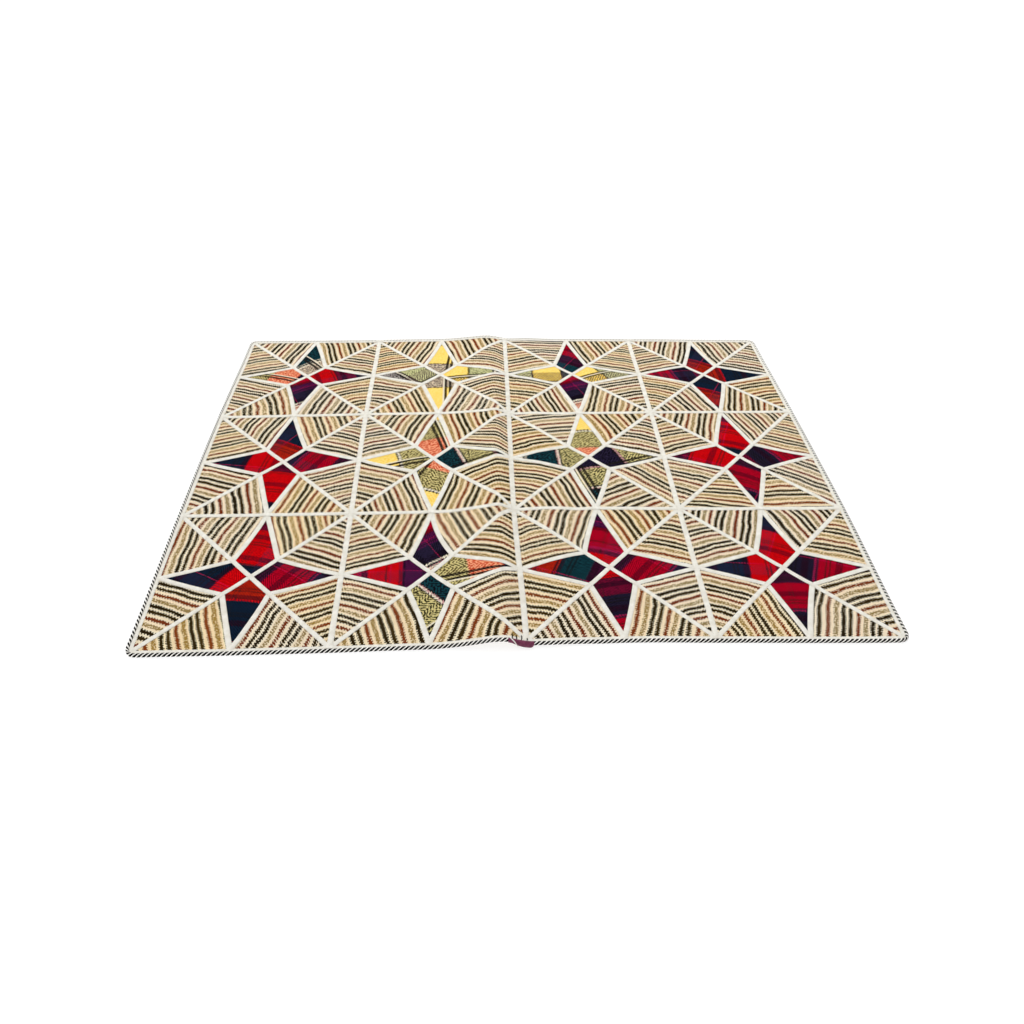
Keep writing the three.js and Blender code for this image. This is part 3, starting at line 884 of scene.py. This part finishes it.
def tube(rings, grid, closed=False, flipped=False):
    """Points, faces and UV places of a tube of rings, with flat ends where it isn't closed.

    The grid has a UV place for each ring and side, with one more side, and one more ring if closed.
    """
    count, sides = rings.shape[:2]
    ring, side = np.indices((count if closed else count - 1, sides))
    corners = ((0, 0), (1, 0), (1, 1), (0, 1)) if flipped else ((0, 0), (0, 1), (1, 1), (1, 0))
    faces = [(ring + i) % count * sides + (side + j) % sides for i, j in corners]
    faces = np.stack(faces, axis=2).reshape(-1, 4).tolist()
    places = np.stack([grid[ring + i, side + j] for i, j in corners], axis=2).reshape(-1, 2)
    if not closed:
        end = np.arange(sides)
        faces += [end[::-1].tolist(), (end + (count - 1) * sides).tolist()]
        places = np.concatenate([places, grid[0, end[::-1]], grid[-1, end]])
    return rings.reshape(-1, 3), faces, places


def tape_mesh(line, width, rise, closed):
    """The points, faces and UV places of a strip of tape along a plan line."""
    ahead = np.roll(line, -1, axis=0) - np.roll(line, 1, axis=0)
    if not closed:
        ahead[0] = line[1] - line[0]
        ahead[-1] = line[-1] - line[-2]
    ahead /= np.linalg.norm(ahead, axis=1)[:, None]
    aside = np.column_stack((ahead[:, 1], -ahead[:, 0]))
    left_edge = hand.normal(0, TAPE_UNEVEN, len(line))
    right_edge = hand.normal(0, TAPE_UNEVEN, len(line))
    rings = np.zeros((len(line), len(TAPE_SECTION), 3))
    for number, (share, level) in enumerate(TAPE_SECTION):
        wander = (left_edge if share < 0 else right_edge) * abs(share)
        offset = (share + wander) * width / 2
        place = line + offset[:, None] * aside
        height = CLOTH_THICK + TAPE_GAP + TAPE_THICK * (level + rise)
        rings[:, number] = lie(place[:, 0], place[:, 1], height)
    length = run_length(line)
    if closed:
        length = np.append(length, length[-1] + TAPE_STEP)
    across = np.array([share for share, level in TAPE_SECTION + TAPE_SECTION[:1]]) * width / 2
    grid = np.stack(np.meshgrid(length, across, indexing="ij"), axis=2)
    return tube(rings, grid, closed)


def joined(meshes):
    """The points, faces and UV places of several meshes as those of one."""
    faces, count = [], 0
    for points, own_faces, places in meshes:
        faces += [[corner + count for corner in face] for face in own_faces]
        count += len(points)
    all_points = np.concatenate([points for points, own_faces, places in meshes])
    return all_points, faces, np.concatenate([places for points, own_faces, places in meshes])


cotton = Finish("white_cotton_tape", TAPE_ROUGHNESS)
run, along, across = cotton.run()
colour = cotton.ramp(cotton.noise(run, TAPE_SOILING_SCALE, 3.0), TAPE_SOILING)[0]
cotton.dyed(cotton.heathered(colour, run, TAPE_HEATHER))
rib_along, rib_across = (
    cotton.maths("SINE", cotton.times(place, 2 * math.pi / rib))
    for place, rib in zip((along, across), TAPE_RIBS)
)
rib = cotton.times(rib_along, rib_across)
cotton.raised(cotton.maths("ADD", rib, cotton.noise(run, TAPE_GRAIN_SCALE)), TAPE_RELIEF)

seam_lines = []
sewn_on = [[] for cloth in cloths]


def sew_tape(name, node, strips, columns):
    """Makes one tape from plan lines with their widths and crossings, in place of its CAD node."""
    made = []
    for line, width, crossings, closed in strips:
        rise = humps(line, crossings)
        made.append(tape_mesh(line, width, rise, closed))
        seam_lines.append((line, width, rise))
    tape = new_piece(name, *joined(made))
    fit(tape, "seam_tape", [cotton], node)
    for column in columns:
        sewn_on[column].append(tape)


for row in range(ROWS):
    for column in range(COLUMNS):
        middle, tips, corners, waists = block_places(column, row)
        strips = []
        for side, tip in enumerate(tips):
            for which, waist in enumerate((waists[side - 1], waists[side])):
                line = bowed_line(tip, waist, star_bows[column, row, side, which])
                over = [(tip + TIP_LAP * (waist - tip), 1)] if which else []
                strips.append((line, STAR_TAPE, over, False))
        for first in (0, 1):
            line = stepped_line([corners[first], middle, corners[first + 2]])
            over = [(waists[first], 1), (waists[first + 2], 1)]
            if first:
                over.append((middle, 1))
            strips.append((line, DIAGONAL_TAPE, over, False))
        place = f"{row + 1}_{column + 1}"
        sew_tape(f"tape_star_{place}", f"star_tape_{place}", strips, [column])

for row in range(1, ROWS):
    y = HALF_DEPTH - row * BLOCK_DEPTH
    for column in range(COLUMNS):
        left = column * BLOCK_WIDTH - HALF_WIDTH
        right = left + BLOCK_WIDTH
        line = stepped_line([(left, y), (right, y)])
        over = [((left, y), 1), ((left + BLOCK_WIDTH / 2, y), 2), ((right, y), 1)]
        place = f"{row}_{column + 1}"
        strips = [(line, ROW_TAPE, over, False)]
        sew_tape(f"tape_cross_{place}", f"cross_tape_{place}", strips, [column])

for column in range(1, COLUMNS):
    x = column * BLOCK_WIDTH - HALF_WIDTH
    line = stepped_line([(x, -HALF_DEPTH), (x, HALF_DEPTH)])
    over = [((x, y), 2) for y in np.linspace(-HALF_DEPTH, HALF_DEPTH, 2 * ROWS + 1)]
    strips = [(line, COLUMN_TAPE, over, False)]
    sew_tape(f"tape_column_{column}", f"column_tape_{column}", strips, [column - 1, column])

edge_corners = [(x * HALF_WIDTH, y * HALF_DEPTH) for x, y in ((-1, -1), (1, -1), (1, 1), (-1, 1))]
edge_line = stepped_line(edge_corners + edge_corners[:1])[:-1]
edge_over = [((x, y), 2) for y in CROSS_SEAMS[1:-1] for x in (-HALF_WIDTH, HALF_WIDTH)]
for x in (-BLOCK_WIDTH, 0, BLOCK_WIDTH):
    edge_over += [((x, y), 3) for y in (-HALF_DEPTH, HALF_DEPTH)]
sew_tape("tape_edge", "edge_tape", [(edge_line, EDGE_TAPE, edge_over, True)], range(COLUMNS))

# The tape's stitches: short slanting stitches of grey cotton thread along both edges of every
# tape, a little inside the edge. They hold the tape to the pieced cloth under it.
STITCH_PITCH = 11 * MM
STITCH_LENGTH = 4.2 * MM
STITCH_THICK = 0.45 * MM
STITCH_INSET = 1.6 * MM
STITCH_LEAN = 0.6 * MM
STITCH_UNEVEN = 0.6 * MM
STITCH_START = (0.2, 0.8)
STITCH_LEVEL = 0.93
STITCH_SUNK = 0.4
SEAM_END = 10 * MM
THREAD_ROUGHNESS = 0.8
THREAD_GLOSS = 0.5
THREAD_SCALE = 60
THREAD_COLOURS = [(0.35, shade(150, 142, 126)), (0.65, shade(206, 200, 186))]
# A stitch is a bead with two ends, two sides, a top and an underside.
STITCH_FACES = np.array([
    (0, 4, 2), (0, 3, 4), (0, 2, 5), (0, 5, 3), (1, 2, 4), (1, 4, 3), (1, 5, 2), (1, 3, 5),
])


def stitch_beads(starts, ends):
    """The points of stitches between two ends each."""
    aside = np.cross(ends - starts, (0, 0, 1.0))
    aside *= STITCH_THICK / np.linalg.norm(aside, axis=1)[:, None]
    middle = (starts + ends) / 2
    up = np.array([0, 0, STITCH_THICK])
    top, under = middle + up, middle - STITCH_SUNK * up
    return np.stack((starts, ends, middle + aside, middle - aside, top, under), axis=1)


beads = []
for line, width, rise in seam_lines:
    length = run_length(line)
    count = int((length[-1] - 2 * SEAM_END) / STITCH_PITCH)
    for edge in (-1, 1):
        at = SEAM_END + STITCH_PITCH * (np.arange(count) + hand.uniform(*STITCH_START))
        at = at + hand.normal(0, STITCH_UNEVEN, count)
        ends = []
        for way in (-1, 1):
            end_at = at + way * STITCH_LENGTH / 2
            here = along_line(end_at, length, line)
            ahead = along_line(end_at + MM, length, line) - here
            ahead /= np.maximum(np.linalg.norm(ahead, axis=1), TOUCH)[:, None]
            offset = edge * (width / 2 - STITCH_INSET) + way * STITCH_LEAN
            layers = np.interp(end_at, length, rise)
            height = CLOTH_THICK + TAPE_GAP + TAPE_THICK * (layers + STITCH_LEVEL)
            x, y = here[:, 0] + ahead[:, 1] * offset, here[:, 1] - ahead[:, 0] * offset
            ends.append(lie(x, y, height))
        beads.append(stitch_beads(*ends))
beads = np.concatenate(beads)
bead_faces = STITCH_FACES + np.arange(len(beads))[:, None, None] * beads.shape[1]

thread = Finish("cotton_thread", THREAD_ROUGHNESS, gloss=THREAD_GLOSS)
thread.dyed(thread.ramp(thread.noise(thread.spot(), THREAD_SCALE), THREAD_COLOURS)[0])
stitches = new_piece("tape_stitches", beads.reshape(-1, 3), bead_faces.reshape(-1, 3).tolist())
fit(stitches, "seam_tape", [thread])

# The whipped edge: black and off-white wool yarn whipped slantwise over the cut edge, all the way
# round, so that it covers the edge as a firm roll of lying strands. The sides and the back are
# whipped a little tighter, with less black along the sides and hardly any along the back.
ROLL_WIDTH = 9 * MM
ROLL_HEIGHT = 11 * MM
ROLL_SQUARE = 0.75
ROLL_SIDES = 12
ROLL_OUT = CUT_EDGE + 0.3 * MM + ROLL_WIDTH / 2
SIDE_DRAWN = 0.12
BACK_DRAWN = 0.1
STRAND_DEPTH = 0.5 * MM
FRONT_PITCH = 12.3 * MM
SIDE_PITCH = 13.7 * MM
WRAP_STEPS = 12
WRAP_SLANT = 2
FRONT_SLANT = 0.9
FRONT_ANGLE = math.radians(25)
FRONT_BLACK = 0.64
SIDE_BLACK = 0.56
FAR_SIDE_BLACK = 0.3
BACK_BLACK = 0.08
YARN_ROUGHNESS = 0.9
YARN_BLACK = shade(14, 13, 12)
YARN_WHITE = shade(248, 246, 240)
YARN_FLECK_SCALE = 900
YARN_UNEVEN = 0.05
YARN_LEVEL = (0.2, 0.9)
YARN_EDGE = (40.0, 0.5)
YARN_RELIEF = 0.4 * MM

# Stations round the roll, from the front left corner: wraps so far, place on the outermost seam,
# and the way out from there in degrees.
front_wraps = 2 * HALF_WIDTH / FRONT_PITCH
side_wraps = 2 * HALF_DEPTH / SIDE_PITCH
corner_wraps = ROLL_OUT * math.pi / 2 / SIDE_PITCH
stations = [(0.0, *edge_corners[0], -90.0)]
for number, wraps in enumerate((front_wraps, side_wraps, front_wraps, side_wraps)):
    corner = edge_corners[(number + 1) % 4]
    angle = 90.0 * number - 90.0
    stations.append((stations[-1][0] + wraps, *corner, angle))
    stations.append((stations[-1][0] + corner_wraps, *corner, angle + 90.0))
stations = np.array(stations)
rings = round(stations[-1, 0]) * WRAP_STEPS
ring_place = np.arange(rings) * stations[-1, 0] / rings
ring_x, ring_y, ring_angle = (
    np.interp(ring_place, stations[:, 0], stations[:, part]) for part in (1, 2, 3)
)
ring_angle = np.radians(ring_angle)
turns = np.arange(ROLL_SIDES + 1) / ROLL_SIDES
slants = WRAP_SLANT * turns
slants = slants + FRONT_SLANT * np.sin(2 * math.pi * turns - FRONT_ANGLE) / (2 * math.pi)


def roll_section(angle, sunk, size=1.0):
    """Out and up of the roll's outside at an angle from straight out, on an oval with full corners."""
    wide = np.sign(np.cos(angle)) * np.abs(np.cos(angle)) ** ROLL_SQUARE
    high = np.sign(np.sin(angle)) * np.abs(np.sin(angle)) ** ROLL_SQUARE
    half_width, half_height = size * ROLL_WIDTH / 2, size * ROLL_HEIGHT / 2
    out = ROLL_OUT - ROLL_WIDTH / 2 + half_width
    return out + (half_width - sunk) * wide, half_height + (half_height - sunk) * high


at_front, at_back = np.clip(-np.sin(ring_angle), 0, 1), np.clip(np.sin(ring_angle), 0, 1)
at_side = 1 - at_front - at_back
roll_size = 1 - SIDE_DRAWN * at_side - BACK_DRAWN * at_back
far = (ring_y + HALF_DEPTH) / (2 * HALF_DEPTH)
side_black = SIDE_BLACK + (FAR_SIDE_BLACK - SIDE_BLACK) * far
black_share = FRONT_BLACK * at_front + side_black * at_side + BACK_BLACK * at_back
roll_rings = np.zeros((rings, ROLL_SIDES, 3))
for number, turn in enumerate(turns[:-1]):
    phase = (np.arange(rings) / WRAP_STEPS - slants[number]) % 1
    on_black = phase / black_share
    on_white = ((phase - black_share) / (1 - black_share) * 2) % 1
    across_strand = np.where(phase < black_share, on_black, on_white)
    sunk = STRAND_DEPTH * (1 - np.sqrt(np.sin(np.pi * across_strand)))
    out, up = roll_section(2 * math.pi * turn, sunk, roll_size)
    x, y = ring_x + out * np.cos(ring_angle), ring_y + out * np.sin(ring_angle)
    roll_rings[:, number] = lie(x, y, up)
unrolled = np.arange(rings + 1)
roll_grid = np.zeros((rings + 1, ROLL_SIDES + 1, 2))
roll_grid[:, :, 0] = unrolled[:, None] / WRAP_STEPS - slants
roll_grid[:, :, 1] = black_share[unrolled % rings, None]

yarn = Finish("whipped_yarn", YARN_ROUGHNESS)
run, phase, black_part = yarn.run()
flecks = yarn.noise(yarn.spot(), YARN_FLECK_SCALE)
place = yarn.maths("FRACT", yarn.scaled(flecks, YARN_UNEVEN, phase))
past_black = yarn.scaled(yarn.maths("SUBTRACT", place, black_part), *YARN_EDGE, clamp=True)
colour = yarn.mixed(past_black, YARN_BLACK, YARN_WHITE)
yarn.dyed(yarn.levelled(colour, yarn.scaled(flecks, *YARN_LEVEL)))
yarn.raised(flecks, YARN_RELIEF)
roll = new_piece("whipped_edge", *tube(roll_rings, roll_grid, closed=True, flipped=True))
roll_nodes = [f"whipped_edge_{side}" for side in ("front", "right", "back", "left")]
fit(roll, "whipping", [yarn], *roll_nodes)

# The label: a short mauve ribbon folded over the roll near the middle of the front edge, bare. It
# bags below the roll towards its right end, where its lower corner is round. One white strand of
# the whipping lies over it, and black stitches hold it to the tape.
LABEL_LEFT = -47 * MM
LABEL_RIGHT = 19 * MM
LABEL_INNER_ANGLE = 100
LABEL_OUTER_ANGLE = -62
LABEL_THICK = 0.9 * MM
LABEL_CLEAR = 0.4 * MM
LABEL_TURNS = 16
LABEL_STEPS = 24
LABEL_ROUND_SHARE = 0.24
LABEL_ROUND_ANGLE = 75
# The bag, and the shares of the label's length over which it grows and shrinks again.
LABEL_BAG = 4 * MM
BAG_GROWS = (0.1, 0.6)
BAG_SHRINKS = (0.85, 1.0)
BAG_SHRUNK = 0.6
BAG_ANGLES = (50, -30)
LABEL_RIPPLE = 0.3 * MM
LABEL_RIPPLES = 130
LABEL_RIPPLE_ANGLE = 30
# The frayed lower edge: degrees round the roll, and waves in radians to a metre.
LABEL_FRAY = ((2.5, 160), (1.5, 410))
RIBBON_ROUGHNESS = 0.65
RIBBON_SHEEN = 0.3
RIBBON_COLOURS = [(0.3, shade(84, 26, 54)), (0.7, shade(128, 54, 86))]
RIBBON_FADE_SCALE = 120
RIBBON_WEAVE_SCALE = 900
RIBBON_RELIEF = 0.2 * MM


def between(value, ends):
    """A smooth rise from 0 at the first end to 1 at the second."""
    return soft_step((value - ends[0]) / (ends[1] - ends[0]))


def on_roll(x, degrees, clear):
    """A place on the front roll's outside, at an angle from straight out, and a little clear of it."""
    out, up = roll_section(np.radians(degrees), -clear)
    return lie(x, -HALF_DEPTH - out, up)


def label_slack(x, degrees):
    """How far the label stands off the roll: most below it, between its middle and its right end."""
    share = (x - LABEL_LEFT) / (LABEL_RIGHT - LABEL_LEFT)
    bag = between(share, BAG_GROWS) * (1 - BAG_SHRUNK * between(share, BAG_SHRINKS))
    ripple = 0.5 + 0.5 * np.sin(x * LABEL_RIPPLES + degrees / LABEL_RIPPLE_ANGLE)
    return LABEL_BAG * bag * between(degrees, BAG_ANGLES) + LABEL_RIPPLE * ripple


label_x = np.linspace(LABEL_LEFT, LABEL_RIGHT, LABEL_STEPS + 1)
to_end = np.clip(1 - np.linspace(1, 0, LABEL_STEPS + 1) / LABEL_ROUND_SHARE, 0, 1)
rounding = LABEL_ROUND_ANGLE * (1 - np.sqrt(1 - to_end**2))
fray = sum(degrees * np.sin(label_x * waves) for degrees, waves in LABEL_FRAY)
label_angles = np.linspace(LABEL_INNER_ANGLE, LABEL_OUTER_ANGLE, LABEL_TURNS + 1)
label_points, label_places = [], []
for gap in (LABEL_CLEAR + LABEL_THICK, LABEL_CLEAR):
    for number, angle in enumerate(label_angles):
        turn = angle + (fray + rounding) * number / LABEL_TURNS
        label_points.append(on_roll(label_x, turn, gap + label_slack(label_x, turn)))
        label_places.append(np.column_stack((label_x, np.full(len(label_x), number * MM))))
label_points, label_places = np.concatenate(label_points), np.concatenate(label_places)
turn, step = np.indices((LABEL_TURNS, LABEL_STEPS))
here = (turn * (LABEL_STEPS + 1) + step).ravel()
below = here + LABEL_STEPS + 1
label_faces = np.column_stack((here, below, below + 1, here + 1))
label_sheet = closed_sheet(label_faces, len(label_points) // 2, label_places[label_faces])

ribbon = Finish("mauve_ribbon", RIBBON_ROUGHNESS, sheen=RIBBON_SHEEN)
run, along, across = ribbon.run()
ribbon.dyed(ribbon.ramp(ribbon.noise(run, RIBBON_FADE_SCALE, 3.0), RIBBON_COLOURS)[0])
ribbon.raised(ribbon.noise(run, RIBBON_WEAVE_SCALE, 1.0), RIBBON_RELIEF)
label = new_piece("bare_label", label_points, *label_sheet[:2])
fit(label, "label", [ribbon], "edge_label")

# The label's stitches and strand. Each stitch has its place along the label and its length over
# the tape, in millimetres, and the strand its ends along the label and round the roll in degrees.
LABEL_STITCHES = [(-37, 19), (-26, 15), (-13, 17), (1, 9)]
LABEL_STITCH_THICK = 1.5 * MM
LABEL_STITCH_RISE = 0.9 * MM
LABEL_STITCH_LEVEL = 1.2
LABEL_STITCH_SWAY = 1.2 * MM
LABEL_STITCH_STEPS = 9
STRAND_ENDS = (-46, -20)
STRAND_TURNS = (128, -57)
STRAND_THICK = 1.3 * MM
STRAND_CLEAR = 1.2 * MM
STRAND_STEPS = 25
YARN_SIDES = 6
YARN_ASIDE = (0.31, 0.22, 0.92)
YARN_TAPER = (0.08, 0.92)
YARN_FULL = 1.6
YARN_THINNEST = 0.4
YARN_GLOSS = 0.05
FUZZ_SCALE = 700
FUZZ_STOPS = (0.35, 0.65)


def yarn_mesh(line, radius):
    """A length of yarn along points, thinner at its ends."""
    ahead = np.gradient(line, axis=0)
    ahead /= np.linalg.norm(ahead, axis=1)[:, None]
    aside = np.cross(ahead, YARN_ASIDE)
    aside /= np.linalg.norm(aside, axis=1)[:, None]
    above = np.cross(aside, ahead)
    full = YARN_FULL * np.sin(np.pi * np.linspace(*YARN_TAPER, len(line)))
    size = radius * np.clip(full, YARN_THINNEST, 1)[:, None]
    angles = np.arange(YARN_SIDES) * 2 * math.pi / YARN_SIDES
    sides = [line + size * (math.cos(angle) * aside + math.sin(angle) * above) for angle in angles]
    return tube(np.stack(sides, axis=1), np.zeros((len(line), YARN_SIDES + 1, 2)))


def yarn_finish(name, *colours):
    """A fuzzy wool yarn between two colours."""
    finish = Finish(name, YARN_ROUGHNESS, gloss=YARN_GLOSS)
    fuzz = finish.noise(finish.spot(), FUZZ_SCALE)
    finish.dyed(finish.ramp(fuzz, list(zip(FUZZ_STOPS, colours)))[0])
    finish.raised(fuzz, YARN_RELIEF)
    return finish


share = np.linspace(0, 1, LABEL_STITCH_STEPS)
stitch_meshes = []
for x, length in LABEL_STITCHES:
    layers = humps(np.array([(x * MM, -HALF_DEPTH)]), edge_over)[0]
    height = CLOTH_THICK + TAPE_GAP + TAPE_THICK * (LABEL_STITCH_LEVEL + layers)
    height = height + LABEL_STITCH_RISE * np.sin(np.pi * share)
    y = -HALF_DEPTH - EDGE_TAPE / 2 + share * length * MM
    line = lie(x * MM + LABEL_STITCH_SWAY * np.sin(3 * share), y, height)
    stitch_meshes.append(yarn_mesh(line, LABEL_STITCH_THICK))
strand_x = np.linspace(*STRAND_ENDS, STRAND_STEPS) * MM
strand_turn = np.linspace(*STRAND_TURNS, STRAND_STEPS)
strand_clear = LABEL_CLEAR + LABEL_THICK + STRAND_CLEAR + label_slack(strand_x, strand_turn)
strand_mesh = yarn_mesh(on_roll(strand_x, strand_turn, strand_clear), STRAND_THICK)
black_yarn = yarn_finish("black_yarn", shade(16, 14, 14), shade(44, 40, 38))
white_yarn = yarn_finish("white_yarn", shade(226, 222, 212), shade(250, 248, 244))
label_stitches = new_piece("label_stitches", *joined(stitch_meshes)[:2])
label_strand = new_piece("label_strand", *strand_mesh[:2])
fit(label_stitches, "whipping", [black_yarn])
fit(label_strand, "whipping", [white_yarn])

# Floor, light and camera: a plain pale floor, an even soft studio light with a soft sun from the
# left and a low light from the back, and the camera at the photograph's place.
FLOOR_SIZE = 60.0
FLOOR_DROP = 0.5 * MM
FLOOR_GREY = 0.28
FLOOR_GLOW = 0.8
FLOOR_ROUGHNESS = 0.9
SKY_STRENGTH = 0.66
WHITE = (1, 1, 1, 1)
bpy.ops.mesh.primitive_plane_add(size=FLOOR_SIZE, location=(0, 0, -FLOOR_DROP))
floor = bpy.context.object
floor.name = "floor"
pale_floor = bpy.data.materials.new("pale_floor")
pale_floor.use_nodes = True
floor_nodes = pale_floor.node_tree.nodes
floor_shader = next(node for node in floor_nodes if node.type == "BSDF_PRINCIPLED")
floor_shader.inputs["Base Color"].default_value = (FLOOR_GREY, FLOOR_GREY, FLOOR_GREY, 1)
floor_shader.inputs["Emission Color"].default_value = WHITE
floor_shader.inputs["Emission Strength"].default_value = FLOOR_GLOW
floor_shader.inputs["Roughness"].default_value = FLOOR_ROUGHNESS
floor.data.materials.append(pale_floor)

for column, cloth in enumerate(cloths):
    outermost = column in (0, COLUMNS - 1)
    width = BLOCK_WIDTH + (CUT_EDGE if outermost else 0)
    length = 2 * (HALF_DEPTH + CUT_EDGE)
    trim = sewn_on[column] + [stitches, roll]
    if not outermost:
        trim += [label, label_stitches, label_strand]

world = bpy.data.worlds.new("studio")
bpy.context.scene.world = world
world.use_nodes = True
sky = next(node for node in world.node_tree.nodes if node.type == "BACKGROUND")
sky.inputs["Color"].default_value = WHITE
sky.inputs["Strength"].default_value = SKY_STRENGTH


def add_light(name, kind, way, place, **settings):
    """Adds a light that shines a given way."""
    data = bpy.data.lights.new(name, kind)
    for setting, value in settings.items():
        setattr(data, setting, value)
    light = bpy.data.objects.new(name, data)
    light.location = place
    light.rotation_euler = Vector(way).to_track_quat("-Z", "Y").to_euler()
    bpy.context.scene.collection.objects.link(light)


add_light("soft_key", "SUN", (0.45, -0.35, -1.0), (0, 0, 0), energy=1.0, angle=math.radians(70))
add_light(
    "back_light", "AREA", (0, -1.0, -1.0), (0, 2.2, 2.2),
    energy=25, shape="RECTANGLE", size=3.0, size_y=2.0,
)

CAMERA_PLACE = Vector((-0.1216, -2.3909, 1.6904))
CAMERA_AIM = Vector((-0.0121, -0.2723, 0.0))
CAMERA_ROLL = math.radians(1.086)
FOCAL_PIXELS = 887.6
IMAGE_PIXELS = 1024
SENSOR_WIDTH = 36.0
FARTHEST = 200
camera_data = bpy.data.cameras.new("camera")
camera_data.sensor_width = SENSOR_WIDTH
camera_data.lens = SENSOR_WIDTH * FOCAL_PIXELS / IMAGE_PIXELS
camera_data.clip_end = FARTHEST
camera = bpy.data.objects.new("camera", camera_data)
camera.location = CAMERA_PLACE
camera.rotation_euler = (CAMERA_AIM - CAMERA_PLACE).to_track_quat("-Z", "Y").to_matrix().to_euler()
camera.rotation_euler.rotate_axis("Z", CAMERA_ROLL)
bpy.context.scene.collection.objects.link(camera)
bpy.context.scene.camera = camera
bpy.context.scene.view_settings.view_transform = "Standard"
